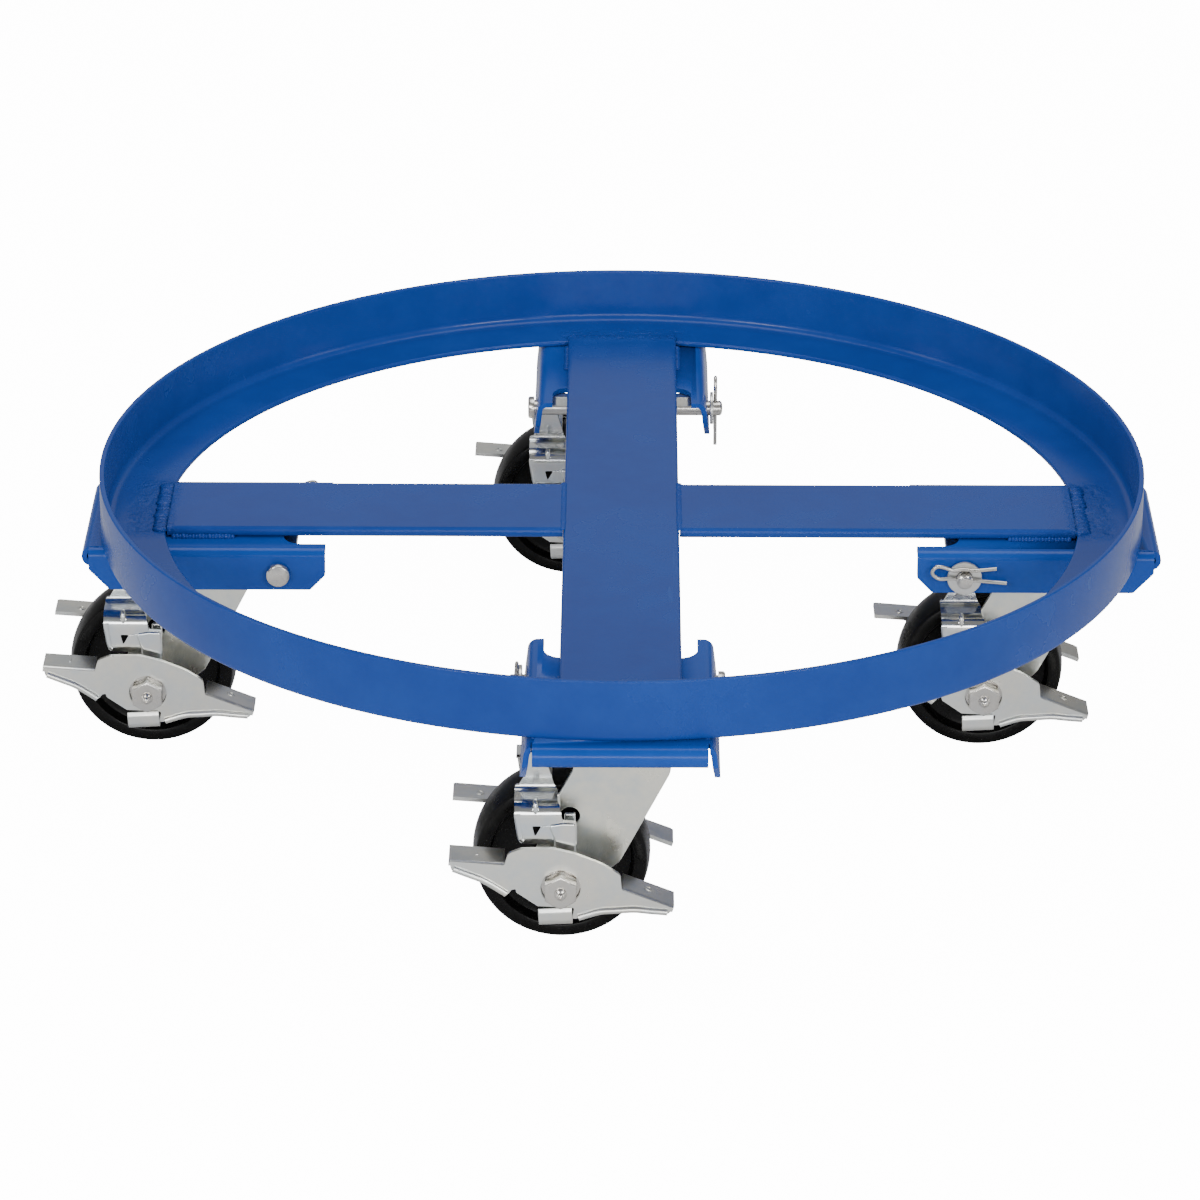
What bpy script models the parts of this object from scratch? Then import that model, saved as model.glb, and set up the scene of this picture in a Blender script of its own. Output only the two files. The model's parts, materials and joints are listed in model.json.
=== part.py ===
"""Drum dolly: a rolled angle ring on a flat bar cross, carried by four pinned-on swivel casters.

Every size below is in millimetres; the helpers turn them into Blender's metres. The origin is the
centre of the cross's top face, where the drum's bottom rests. +Z is up and +X is the dolly's right.
Each caster station (right, back, left, front) is the same bracket turned by a quarter turn, while
all four casters trail towards -X, as they do when the dolly has just been pulled to the right.
"""

import math

import bmesh
import bpy
from mathutils import Matrix, Vector

MM = 0.001
GAP = 0.3  # between pieces that touch or are welded together
STATIONS = {"right": 0.0, "back": 90.0, "left": 180.0, "front": 270.0}

# Ring: angle section rolled with one leg up and the other one pointing in
RING_OUTER_R = 311.15
RING_HEIGHT = 38.1
RING_LEG = 38.1
RING_WALL = 3.2
RING_SEGMENTS = 48

# Flat bar cross
BAR_WIDTH = 69.0
BAR_THICK = 6.0
BAR_EDGE_R = 2.4

# Caster plate, which sets the bracket's width and the swivel's place
PLATE_LENGTH = 114.3
PLATE_WIDTH = 92.0
PLATE_THICK = 6.0
PLATE_CORNER_R = 6.0
PLATE_SETBACK = 12.45  # from the hook's outer face
SLOT_LENGTH = 17.0
SLOT_WIDTH = 10.5
SLOT_INSET = (15.15, 13.0)  # a slot's middle from the plate's edges

# Caster brackets: channels of sheet with a hook along the outer end
SHEET = 3.2
BEND_R = 6.0
PLATE_SIDE_ROOM = 0.5  # between the plate and the start of the bends
FLANGE_OVERHANG = 4.35  # beyond the ring
FLANGE_HEIGHT = 24.7
FLANGE_SPLAY = 7.0  # degrees
INNER_CHAMFER = 9.0
OUTER_CHAMFER = 12.0
NOTCH_DEPTH = 25.4
NOTCH_CORNER_R = 10.0
HORN_WIDTH = 8.8
HOOK_OVERHANG = 8.85  # beyond the ring
HOOK_END_SETBACK = 4.0  # from the bracket's side
HOOK_RELIEF = 0.8  # cut beside the hook's ends
HOOK_LIP = 20.0

# Clevis pin, washer and hairpin
PIN_R = 4.76
PIN_UNDER_PLATE = 9.95  # from the plate's inner edge
PIN_EDGE_DISTANCE = 27.9  # from the bracket's inner end
PIN_HEAD_R = 7.0
PIN_HEAD_THICK = 4.0
PIN_TAIL = 4.6  # beyond the middle of the hairpin's wire
PIN_EDGE = 1.2
WASHER_R = 10.3
WASHER_THICK = 2.0
WIRE_R = 1.15
CLIP_ANGLES = {"right": 5.0, "back": 90.0, "left": 12.0, "front": -10.0}  # degrees below outwards

# Caster: kingpin and ball race
KINGPIN_R = 6.35
KINGPIN_HEAD_R = 10.7
KINGPIN_HEAD_THICK = 2.6
KINGPIN_NUT_AF = 19.0
KINGPIN_NUT_THICK = 7.5
KINGPIN_END = 1.5  # beyond its nut
RACE_R = 27.0
RACE_PLAY = 1.65  # round the kingpin
RACE_HEIGHT = 10.6
RACE_GROOVE = 2.5

# Caster: wheel and axle
WHEEL_R = 50.8
WHEEL_WIDTH = 32.0
TREAD_CROWN = 2.0
WHEEL_SEGMENTS = 24
WEB_HALF = 8.0
RIM_DEPTH = 10.2
HUB_WALL = 5.2
HUB_PROUD = 6.0  # beyond the wheel's sides
AXLE_R = 6.35
BEARING_WALL = 4.15
BEARING_PROUD = 0.6  # beyond the hub
SLEEVE_WALL = 2.15
AXLE_NUT_AF = 17.5
AXLE_NUT_THICK = 7.5
COLLAR_BRIM = 0.8  # beyond the nut's corners
COLLAR_DEPTH = 1.5  # behind the lever
ZERK_R = 2.6
ZERK_LENGTH = 5.0

# Caster: fork. Its outline is measured from the axle, but from the swivel axis at the crown.
TRAIL = 33.0
FORK_SHEET = 3.2
FORK_SIDE_ROOM = 0.9  # between the bearing and a leg
FORK_HEAD_ROOM = 20.9  # between the tread and the crown
FORK_BEND_R = 9.0
CROWN_BACK = -26.2
CROWN_FRONT = 29.1
CROWN_SIDE_DEPTH = 13.0
LEG_FOOT_DROP = 12.0
LEG_FOOT_HALF = 12.0
LEG_FRONT = (33.0, 5.0)
LEG_BACK = (-16.0, 8.0)
LEG_WAIST = -1.5
LEG_WAIST_DROP = 4.8  # from the tread's top
TAB_HOLE_R = 6.0
TAB_HOLE_AT = 5.0  # ahead of the axle
TAB_HOLE_DROP = 17.3  # from the tread's top

# Caster: brake levers
LEVER_SHEET = 2.5
LEVER_SIDE_ROOM = 5.3  # between the shoe's cheek and a lever
LEVER_TILT = 13.0  # degrees, the released position
PEDAL_DEPTH = 21.0
PEDAL_START = (33.5, 7.4)
PEDAL_TIP = (65.0, 2.5)
PEDAL_INSET = (1.0, 0.5)  # of its two edges from those points

# Caster: brake shoe, measured from the axle
SHOE_SHEET = 2.0
SHOE_BEND_R = 4.0
CHEEK_SIDE_ROOM = 13.0  # between a leg and the cheek
CHEEK_BACK = -26.4
CHEEK_FRONT = -3.6
CHEEK_STEP = 13.5  # the cheek's lower part reaches this much further forward
CHEEK_HEIGHT = 33.0
LEDGE_DROP = 3.2  # from the tread's top
TONGUE_SIDE_ROOM = 2.3  # between the wheel and the tongue
TONGUE_BACK = -17.0
TONGUE_FRONT = -5.0
SHOE_CLEARANCE = 3.0  # over the tread
FLANGE_CLEARANCE = 1.0  # under the bracket's flanges
TAB_HEIGHT = 4.0
TAB_WIDTH = 5.0
TAB_AT = 5.0  # ahead of the axle
TAB_DROP = 16.2  # from the tread's top

# Levels, from the drum seat down
RING_BOTTOM = -BAR_THICK
BRACKET_TOP = RING_BOTTOM - GAP
PLATE_TOP = BRACKET_TOP - SHEET - GAP
PLATE_BOTTOM = PLATE_TOP - PLATE_THICK
PIN_Z = PLATE_BOTTOM - GAP - PIN_R
HOOK_HEIGHT = 2 * SHEET + PLATE_THICK + 2 * GAP
FLANGE_BOTTOM = BRACKET_TOP - FLANGE_HEIGHT
RACE_TOP = PLATE_BOTTOM - GAP
CROWN_TOP = RACE_TOP - RACE_HEIGHT - GAP
TREAD_TOP = CROWN_TOP - FORK_SHEET - FORK_HEAD_ROOM
AXLE_Z = TREAD_TOP - WHEEL_R
LEDGE = TREAD_TOP - LEDGE_DROP

# Distances from the dolly's middle, from the ring inwards
HOOK_OUTER_R = RING_OUTER_R + HOOK_OVERHANG
FLANGE_OUTER_R = RING_OUTER_R + FLANGE_OVERHANG
PLATE_OUTER_R = HOOK_OUTER_R - PLATE_SETBACK
SWIVEL_R = PLATE_OUTER_R - PLATE_LENGTH / 2
PIN_STATION_R = PLATE_OUTER_R - PLATE_LENGTH + PIN_UNDER_PLATE
BRACKET_INNER_R = PIN_STATION_R - PIN_EDGE_DISTANCE

# Bracket widths, and the faces that the pin's stack bears on
BRACKET_WIDTH = PLATE_WIDTH + 2 * (BEND_R + PLATE_SIDE_ROOM)
NOTCH_HALF = BRACKET_WIDTH / 2 - HORN_WIDTH
HOOK_LENGTH = BRACKET_WIDTH - 2 * HOOK_END_SETBACK
SPLAY = math.tan(math.radians(FLANGE_SPLAY))
HALF_AT_FLANGE_FOOT = BRACKET_WIDTH / 2 + FLANGE_HEIGHT * SPLAY
HALF_AT_PIN_HEAD = BRACKET_WIDTH / 2 + (BRACKET_TOP - PIN_Z + PIN_HEAD_R) * SPLAY
WASHER_FACE = HALF_AT_FLANGE_FOOT + GAP
CLIP_PLANE = WASHER_FACE + WASHER_THICK + GAP + WIRE_R

# Caster radii, and its layers from the wheel's middle plane outwards
BEARING_R = AXLE_R + BEARING_WALL
HUB_R = BEARING_R + GAP + HUB_WALL
SLEEVE_R = AXLE_R + SLEEVE_WALL
COLLAR_R = AXLE_NUT_AF / 2 / math.cos(math.radians(30)) + COLLAR_BRIM
TONGUE_FACE = WHEEL_WIDTH / 2 + TONGUE_SIDE_ROOM + SHOE_SHEET
HUB_HALF = WHEEL_WIDTH / 2 + HUB_PROUD
FORK_HALF = HUB_HALF + BEARING_PROUD + FORK_SIDE_ROOM + FORK_SHEET
CHEEK_FACE = FORK_HALF + CHEEK_SIDE_ROOM + SHOE_SHEET
LEVER_FACE = CHEEK_FACE + LEVER_SIDE_ROOM + LEVER_SHEET


# ---------------------------------------------------------------- helpers

for old in list(bpy.data.objects):
    bpy.data.objects.remove(old, do_unlink=True)

PARTS = bpy.data.collections.new("drum_dolly")
PATTERNS = bpy.data.collections.new("drum_dolly_cutters")
for collection in (PARTS, PATTERNS):
    bpy.context.scene.collection.children.link(collection)


def material(name, colour, roughness, metallic):
    made = bpy.data.materials.new(name)
    made.use_nodes = True
    shader = made.node_tree.nodes["Principled BSDF"]
    shader.inputs["Base Color"].default_value = (*colour, 1.0)
    shader.inputs["Roughness"].default_value = roughness
    shader.inputs["Metallic"].default_value = metallic
    return made


def pattern(name, data):
    """A cutter, or the pattern that the copies of a repeated piece are taken from."""
    made = bpy.data.objects.new(name, data)
    made.hide_render = True
    made.display_type = "WIRE"
    PATTERNS.objects.link(made)
    return made


def taken_from(source):
    """The finished mesh of a pattern, with its modifiers worked in and its place applied."""
    bpy.context.view_layer.update()
    graph = bpy.context.evaluated_depsgraph_get()
    mesh = bpy.data.meshes.new_from_object(source.evaluated_get(graph), depsgraph=graph)
    mesh.transform(source.matrix_world)
    shape = bmesh.new()
    shape.from_mesh(mesh)
    bmesh.ops.remove_doubles(shape, verts=shape.verts, dist=0.002 * MM)
    shape.to_mesh(mesh)
    shape.free()
    return mesh


def solid(source):
    """The pattern again, as a plain mesh that Booleans take."""
    name = source.name
    made = taken_from(source)
    bpy.data.objects.remove(source, do_unlink=True)
    return pattern(name, made)


def boolean(target, other, operation):
    step = target.modifiers.new(f"{operation.lower()} {other.name}", "BOOLEAN")
    step.operation = operation
    step.object = other
    step.solver = "EXACT"
    return target


def piece(name, mesh, finish, parent=None, location=(0, 0, 0), turn=None, sharp=30.0):
    mesh.materials.clear()
    mesh.materials.append(finish)
    mesh.shade_smooth()
    mesh.set_sharp_from_angle(angle=math.radians(sharp))
    made = bpy.data.objects.new(name, mesh)
    made.parent = parent
    made.location = Vector(location) * MM
    if turn is not None:
        made.rotation_euler = turn.to_euler()
    PARTS.objects.link(made)
    return made


def empty(name, location, degrees=0.0, parent=None):
    made = bpy.data.objects.new(name, None)
    made.location = Vector(location) * MM
    made.rotation_euler.z = math.radians(degrees)
    made.parent = parent
    PARTS.objects.link(made)
    return made


def arc(centre, radius, start, end, steps):
    """Points on a circle from one angle to another, in degrees."""
    return [
        (
            centre[0] + radius * math.cos(math.radians(start + (end - start) * i / steps)),
            centre[1] + radius * math.sin(math.radians(start + (end - start) * i / steps)),
        )
        for i in range(steps + 1)
    ]


def rounded(corners, radius, steps=3, closed=True):
    """The outline through these corners, each one rounded with an arc. A radius may be a list."""
    count = len(corners)
    radii = radius if isinstance(radius, (list, tuple)) else [radius] * count
    points = []
    for i, corner in enumerate(corners):
        here = Vector(corner)
        inner = closed or 0 < i < count - 1
        if not inner or radii[i] <= 0:
            points.append(tuple(here))
            continue
        before = (Vector(corners[i - 1]) - here).normalized()
        after = (Vector(corners[(i + 1) % count]) - here).normalized()
        half = before.angle(after) / 2
        centre = here + (before + after).normalized() * radii[i] / math.sin(half)
        first = here + before * radii[i] / math.tan(half) - centre
        last = here + after * radii[i] / math.tan(half) - centre
        sweep = first.angle_signed(last)
        for step in range(steps + 1):
            points.append(tuple(centre + Matrix.Rotation(-sweep * step / steps, 2) @ first))
    return points


def flat(name, loops, thickness, plane="XY", offset=0.0):
    """A plate from an outline and the holes in it, lying in a plane, its middle at the offset."""
    data = bpy.data.curves.new(name, "CURVE")
    data.dimensions = "2D"
    data.fill_mode = "BOTH"
    data.extrude = thickness / 2 * MM
    for loop in loops:
        spline = data.splines.new("POLY")
        spline.points.add(len(loop) - 1)
        for point, (x, y) in zip(spline.points, loop):
            point.co = (x * MM, y * MM, 0, 1)
        spline.use_cyclic_u = True
    made = pattern(name, data)
    if plane == "XZ":
        made.rotation_euler.x = math.radians(90)
        made.location.y = offset * MM
    else:
        made.location.z = offset * MM
    return solid(made)


def bent(name, path, width, thickness, plane="XZ"):
    """Bent sheet: the path is its outer surface, seen along the bends, with the metal on its right."""
    shape = bmesh.new()
    line = [shape.verts.new((x * MM, -width / 2 * MM, z * MM)) for x, z in path]
    edges = [shape.edges.new(pair) for pair in zip(line, line[1:])]
    swept = bmesh.ops.extrude_edge_only(shape, edges=edges)["geom"]
    moved = [item for item in swept if isinstance(item, bmesh.types.BMVert)]
    bmesh.ops.translate(shape, verts=moved, vec=(0, width * MM, 0))
    shape.normal_update()
    shape.faces.ensure_lookup_table()
    start, end = (Vector((x, 0, z)) for x, z in path[:2])
    first = min(shape.faces, key=lambda f: (f.calc_center_median() - (start + end) / 2 * MM).length)
    if first.normal.dot((end - start).cross(Vector((0, 1, 0)))) < 0:
        bmesh.ops.reverse_faces(shape, faces=shape.faces)
    data = bpy.data.meshes.new(name)
    shape.to_mesh(data)
    shape.free()
    made = pattern(name, data)
    if plane == "YZ":
        made.rotation_euler.z = math.radians(90)
    wall = made.modifiers.new("wall", "SOLIDIFY")
    wall.thickness = thickness * MM
    wall.offset = -1.0
    wall.use_even_offset = True
    return solid(made)


def turned(name, profile, segments, axis="Z", ring=False):
    """A turned piece. Its profile (radius, height) runs from the top down the outer side."""
    shape = bmesh.new()
    line = [shape.verts.new((r * MM, 0, z * MM)) for r, z in profile]
    for pair in zip(line, line[1:] + line[:1] if ring else line[1:]):
        shape.edges.new(pair)
    data = bpy.data.meshes.new(name)
    shape.to_mesh(data)
    shape.free()
    made = pattern(name, data)
    if axis == "Y":
        made.rotation_euler.x = math.radians(90)
    spin = made.modifiers.new("spin", "SCREW")
    spin.steps = segments
    spin.render_steps = segments
    spin.use_merge_vertices = True
    spin.merge_threshold = 0.00001
    return solid(made)


def block(name, low, high):
    """A box between two corners."""
    shape = bmesh.new()
    bmesh.ops.create_cube(shape, size=1.0)
    low, high = Vector(low) * MM, Vector(high) * MM
    bmesh.ops.scale(shape, vec=high - low, verts=shape.verts)
    bmesh.ops.translate(shape, vec=(high + low) / 2, verts=shape.verts)
    data = bpy.data.meshes.new(name)
    shape.to_mesh(data)
    shape.free()
    return pattern(name, data)


def rod(name, radius, low, high, axis="Z", centre=(0, 0), sides=24):
    """A round or six-sided bar along an axis, between two places on it."""
    shape = bmesh.new()
    bmesh.ops.create_cone(
        shape,
        cap_ends=True,
        segments=sides,
        radius1=radius * MM,
        radius2=radius * MM,
        depth=(high - low) * MM,
    )
    middle = (low + high) / 2
    if axis == "Y":
        bmesh.ops.rotate(shape, matrix=Matrix.Rotation(math.radians(90), 3, "X"), verts=shape.verts)
        place = (centre[0], middle, centre[1])
    else:
        place = (centre[0], centre[1], middle)
    bmesh.ops.translate(shape, vec=Vector(place) * MM, verts=shape.verts)
    data = bpy.data.meshes.new(name)
    shape.to_mesh(data)
    shape.free()
    return pattern(name, data)


def hex_corner_r(across_flats):
    return across_flats / 2 / math.cos(math.radians(30))


def mirrored(points):
    """The outline closed by its mirror image about the second axis."""
    return points + [(-x, y) for x, y in reversed(points) if abs(x) > 1e-6]


# ---------------------------------------------------------------- finishes

ENAMEL = material("blue_enamel", (0.018, 0.085, 0.38), 0.25, 0.0)
BRACKET_ENAMEL = material("bracket_enamel", (0.016, 0.095, 0.42), 0.28, 0.0)
ZINC = material("zinc_plate", (0.58, 0.58, 0.55), 0.32, 0.95)
BRIGHT = material("bright_steel", (0.62, 0.60, 0.56), 0.25, 1.0)
RACE_STEEL = material("race_steel", (0.42, 0.42, 0.41), 0.35, 0.95)
WHEEL_BLACK = material("wheel_black", (0.012, 0.012, 0.013), 0.35, 0.0)
BEARING_STEEL = material("bearing_steel", (0.30, 0.30, 0.30), 0.4, 0.9)


# ---------------------------------------------------------------- frame


def ring():
    wall_in = RING_OUTER_R - RING_WALL
    leg_in = RING_OUTER_R - RING_LEG
    heel = RING_WALL
    top = RING_BOTTOM + RING_HEIGHT
    profile = (
        [(wall_in, top), (RING_OUTER_R, top)]
        + arc((RING_OUTER_R - heel, RING_BOTTOM + heel), heel, 0, -90, 2)
        + [(leg_in, RING_BOTTOM), (leg_in, RING_BOTTOM + RING_WALL)]
        + [(wall_in - heel, RING_BOTTOM + RING_WALL), (wall_in, RING_BOTTOM + 2 * RING_WALL)]
    )
    piece("ring", taken_from(turned("ring_shape", profile, RING_SEGMENTS, ring=True)), ENAMEL)


def bar(name, low, high):
    """A flat bar with its long edges rounded, between two corners in plan."""
    shape = bmesh.new()
    bmesh.ops.create_cube(shape, size=1.0)
    size = Vector((high[0] - low[0], high[1] - low[1], BAR_THICK)) * MM
    middle = Vector(((high[0] + low[0]) / 2, (high[1] + low[1]) / 2, -BAR_THICK / 2)) * MM
    bmesh.ops.scale(shape, vec=size, verts=shape.verts)
    long_axis = 0 if size.x > size.y else 1
    long_edges = [
        edge
        for edge in shape.edges
        if abs((edge.verts[1].co - edge.verts[0].co)[long_axis]) > BAR_WIDTH * MM
    ]
    bmesh.ops.bevel(
        shape,
        geom=long_edges,
        offset=BAR_EDGE_R * MM,
        segments=3,
        profile=0.5,
        affect="EDGES",
    )
    data = bpy.data.meshes.new(name)
    shape.to_mesh(data)
    shape.free()
    piece(name, data, ENAMEL, location=middle / MM)


def cross():
    half = BAR_WIDTH / 2
    leg_in = (RING_OUTER_R - RING_LEG) * math.cos(math.pi / RING_SEGMENTS)
    end = math.sqrt(leg_in**2 - half**2) - GAP
    bar("long_bar", (-half, -end), (half, end))
    bar("right_bar", (half + GAP, -half), (end, half))
    bar("left_bar", (-end, -half), (-half - GAP, half))


def bracket_mesh():
    """The bracket of the right station: its channel runs out along +X, open below."""
    half = BRACKET_WIDTH / 2
    foot = HALF_AT_FLANGE_FOOT
    length = FLANGE_OUTER_R - BRACKET_INNER_R
    middle = (FLANGE_OUTER_R + BRACKET_INNER_R) / 2
    section = [
        (-foot, FLANGE_BOTTOM),
        (-half, BRACKET_TOP),
        (half, BRACKET_TOP),
        (foot, FLANGE_BOTTOM),
    ]
    channel = bent("channel", rounded(section, BEND_R, 2, closed=False), length, SHEET, "YZ")
    channel.data.transform(Matrix.Translation((middle * MM, 0, 0)))
    channel.name = "bracket"

    inner, outer = BRACKET_INNER_R, FLANGE_OUTER_R
    side = rounded(
        [
            (inner, BRACKET_TOP + 5),
            (outer, BRACKET_TOP + 5),
            (outer, FLANGE_BOTTOM + OUTER_CHAMFER),
            (outer - OUTER_CHAMFER, FLANGE_BOTTOM),
            (inner + INNER_CHAMFER, FLANGE_BOTTOM),
            (inner, FLANGE_BOTTOM + INNER_CHAMFER),
        ],
        0,
    )
    boolean(channel, flat("flange_side", [side], 3 * foot, "XZ"), "INTERSECT")

    notch = rounded(
        [
            (inner - 20, -NOTCH_HALF),
            (inner + NOTCH_DEPTH, -NOTCH_HALF),
            (inner + NOTCH_DEPTH, NOTCH_HALF),
            (inner - 20, NOTCH_HALF),
        ],
        [0, NOTCH_CORNER_R, NOTCH_CORNER_R, 0],
        4,
    )
    boolean(channel, flat("notch", [notch], 3 * SHEET, "XY", BRACKET_TOP), "DIFFERENCE")

    hook_r = HOOK_HEIGHT / 2
    bend_centre = (HOOK_OUTER_R - hook_r, BRACKET_TOP - hook_r)
    joint_r = bend_centre[0] - 2 * SHEET
    path = (
        [(joint_r, BRACKET_TOP)]
        + arc(bend_centre, hook_r, 90, -90, 6)
        + [(HOOK_OUTER_R - HOOK_LIP, BRACKET_TOP - HOOK_HEIGHT)]
    )
    relief_half = HOOK_LENGTH / 2 + HOOK_RELIEF
    relief_low = (joint_r + SHEET, -relief_half, BRACKET_TOP - SHEET - 1)
    relief_high = (outer + 5, relief_half, BRACKET_TOP + 1)
    boolean(channel, block("hook_relief", relief_low, relief_high), "DIFFERENCE")
    boolean(channel, bent("hook", path, HOOK_LENGTH, SHEET), "UNION")

    hole = rod("pin_hole", PIN_R + GAP, -2 * foot, 2 * foot, "Y", (PIN_STATION_R, PIN_Z), 14)
    boolean(channel, hole, "DIFFERENCE")
    return taken_from(channel)


# ---------------------------------------------------------------- pin, washer and hairpin


def pin_mesh():
    """Clevis pin along Y, head at +Y, with a cross-hole for the hairpin near its tail at -Y."""
    head = HALF_AT_PIN_HEAD + GAP
    tail = -(CLIP_PLANE + PIN_TAIL)
    profile = [
        (0, tail),
        (PIN_R - PIN_EDGE, tail),
        (PIN_R, tail + PIN_EDGE),
        (PIN_R, head),
        (PIN_HEAD_R, head),
        (PIN_HEAD_R, head + PIN_HEAD_THICK - PIN_EDGE),
        (PIN_HEAD_R - PIN_EDGE, head + PIN_HEAD_THICK),
        (0, head + PIN_HEAD_THICK),
    ]
    flipped = [(r, -y) for r, y in profile]
    pin = turned("clevis_pin", flipped, 12, axis="Y")
    hole = rod("cross_hole", WIRE_R + GAP, -2 * PIN_R, 2 * PIN_R, sides=8)
    turn = Matrix.Rotation(math.radians(90), 4, "Y")
    hole.data.transform(Matrix.Translation((0, -CLIP_PLANE * MM, 0)) @ turn)
    return taken_from(boolean(pin, hole, "DIFFERENCE"))


def washer_mesh():
    bore, face, back = PIN_R + GAP, WASHER_FACE, WASHER_FACE + WASHER_THICK
    profile = [(bore, back), (WASHER_R, back), (WASHER_R, face), (bore, face)]
    return taken_from(turned("pin_washer", profile, 12, axis="Y", ring=True))


def smooth_line(points, steps):
    """A Catmull-Rom line through the points."""
    ends = [points[0]] + points + [points[-1]]
    line = []
    for a, b, c, d in zip(ends, ends[1:], ends[2:], ends[3:]):
        a, b, c, d = (Vector(p) for p in (a, b, c, d))
        for step in range(steps):
            t = step / steps
            line.append(
                0.5 * (2 * b + (c - a) * t + (2 * a - 5 * b + 4 * c - d) * t**2
                       + (3 * b - a - 3 * c + d) * t**3)
            )
    return line + [Vector(points[-1])]


def hairpin_mesh():
    """R-shaped spring wire: one leg runs through the pin along X, the other one bows round it."""
    bow = PIN_R + WIRE_R + GAP
    wire = [
        (25.0, 0.0),
        (-9.0, 0.0),
        (-15.0, -0.8),
        (-19.5, 2.4),
        (-17.5, 6.6),
        (-12.5, 6.6),
        (-7.0, 5.2),
        (-3.5, bow - 0.1),
        (0.0, bow + 0.2),
        (6.0, bow + 0.3),
        (18.0, bow + 2.5),
    ]
    line = [Vector((25.0, 0.0))] + smooth_line(wire[1:], 2)
    data = bpy.data.curves.new("hairpin_wire", "CURVE")
    data.dimensions = "3D"
    data.bevel_depth = WIRE_R * MM
    data.bevel_resolution = 1
    data.use_fill_caps = True
    spline = data.splines.new("POLY")
    spline.points.add(len(line) - 1)
    for point, (x, z) in zip(spline.points, line):
        point.co = (x * MM, -CLIP_PLANE * MM, z * MM, 1)
    return taken_from(pattern("hairpin_wire", data))


# ---------------------------------------------------------------- caster pieces


def plate_mesh():
    """Top plate, long side along X, with four bolt slots and a stepped hole for the kingpin."""
    x, y = PLATE_LENGTH / 2, PLATE_WIDTH / 2
    outline = rounded([(-x, -y), (x, -y), (x, y), (-x, y)], PLATE_CORNER_R, 2)
    reach, slot_r = (SLOT_LENGTH - SLOT_WIDTH) / 2, SLOT_WIDTH / 2
    loops = [outline]
    for sx in (-1, 1):
        for sy in (-1, 1):
            at = (sx * (x - SLOT_INSET[0]), sy * (y - SLOT_INSET[1]))
            loops.append(
                arc((at[0] + reach, at[1]), slot_r, -90, 90, 2)
                + arc((at[0] - reach, at[1]), slot_r, 90, 270, 2)
            )
    plate = flat("caster_plate", loops, PLATE_THICK, "XY", PLATE_TOP - PLATE_THICK / 2)
    seat = KINGPIN_HEAD_R + GAP
    step = PLATE_TOP - KINGPIN_HEAD_THICK - 2 * GAP
    bore = KINGPIN_R + GAP
    profile = [(0, PLATE_TOP + 1), (seat, PLATE_TOP + 1), (seat, step), (bore, step)]
    profile += [(bore, PLATE_BOTTOM - 1), (0, PLATE_BOTTOM - 1)]
    return taken_from(boolean(plate, turned("kingpin_seat", profile, 14), "DIFFERENCE"))


def kingpin_mesh():
    top = PLATE_TOP - GAP
    under_head = top - KINGPIN_HEAD_THICK
    nut_top = CROWN_TOP - FORK_SHEET - GAP
    end = nut_top - KINGPIN_NUT_THICK
    profile = [(0, top), (KINGPIN_HEAD_R, top), (KINGPIN_HEAD_R, under_head)]
    profile += [(KINGPIN_R, under_head), (KINGPIN_R, end - KINGPIN_END), (0, end - KINGPIN_END)]
    kingpin = turned("kingpin", profile, 10)
    nut = rod("kingpin_nut", hex_corner_r(KINGPIN_NUT_AF), end, nut_top, sides=6)
    return taken_from(boolean(kingpin, nut, "UNION"))


def race_mesh():
    bore, bottom = KINGPIN_R + RACE_PLAY, RACE_TOP - RACE_HEIGHT
    middle = (RACE_TOP + bottom) / 2
    profile = [(bore, RACE_TOP), (RACE_R, RACE_TOP), (RACE_R - RACE_GROOVE, middle)]
    profile += [(RACE_R, bottom), (bore, bottom)]
    return taken_from(turned("swivel_race", profile, 14, ring=True))


def fork_mesh():
    """Fork about the swivel axis: a folded sheet, trimmed to its side outline."""
    top, shoulder = CROWN_TOP, CROWN_TOP - CROWN_SIDE_DEPTH
    foot = AXLE_Z - LEG_FOOT_DROP
    reach = 2 * FORK_HALF
    legs = [(-FORK_HALF, foot), (-FORK_HALF, top), (FORK_HALF, top), (FORK_HALF, foot)]
    fork = bent("fork", rounded(legs, FORK_BEND_R, 2, closed=False), 3 * WHEEL_R, FORK_SHEET, "YZ")
    side = rounded(
        [
            (CROWN_BACK, top + 5),
            (CROWN_FRONT - 2, top + 5),
            (CROWN_FRONT, shoulder),
            (-TRAIL + LEG_FRONT[0], AXLE_Z + LEG_FRONT[1]),
            (-TRAIL + LEG_FOOT_HALF, foot),
            (-TRAIL - LEG_FOOT_HALF, foot),
            (-TRAIL + LEG_BACK[0], AXLE_Z + LEG_BACK[1]),
            (-TRAIL + LEG_WAIST, TREAD_TOP - LEG_WAIST_DROP),
            (CROWN_BACK, shoulder),
        ],
        [0, 0, 8, 10, 6, 8, 10, 8, 6],
        2,
    )
    holes = {
        "axle": (AXLE_R + GAP, (-TRAIL, AXLE_Z), 14),
        "tab": (TAB_HOLE_R, (-TRAIL + TAB_HOLE_AT, TREAD_TOP - TAB_HOLE_DROP), 8),
    }
    boolean(fork, flat("fork_side", [side], 2 * reach, "XZ"), "INTERSECT")
    boolean(fork, rod("fork_kingpin_hole", KINGPIN_R + GAP, shoulder, top + 5, sides=14), "DIFFERENCE")
    for name, (radius, at, sides) in holes.items():
        boolean(fork, rod(f"fork_{name}_hole", radius, -reach, reach, "Y", at, sides), "DIFFERENCE")
    return taken_from(fork)


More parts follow.
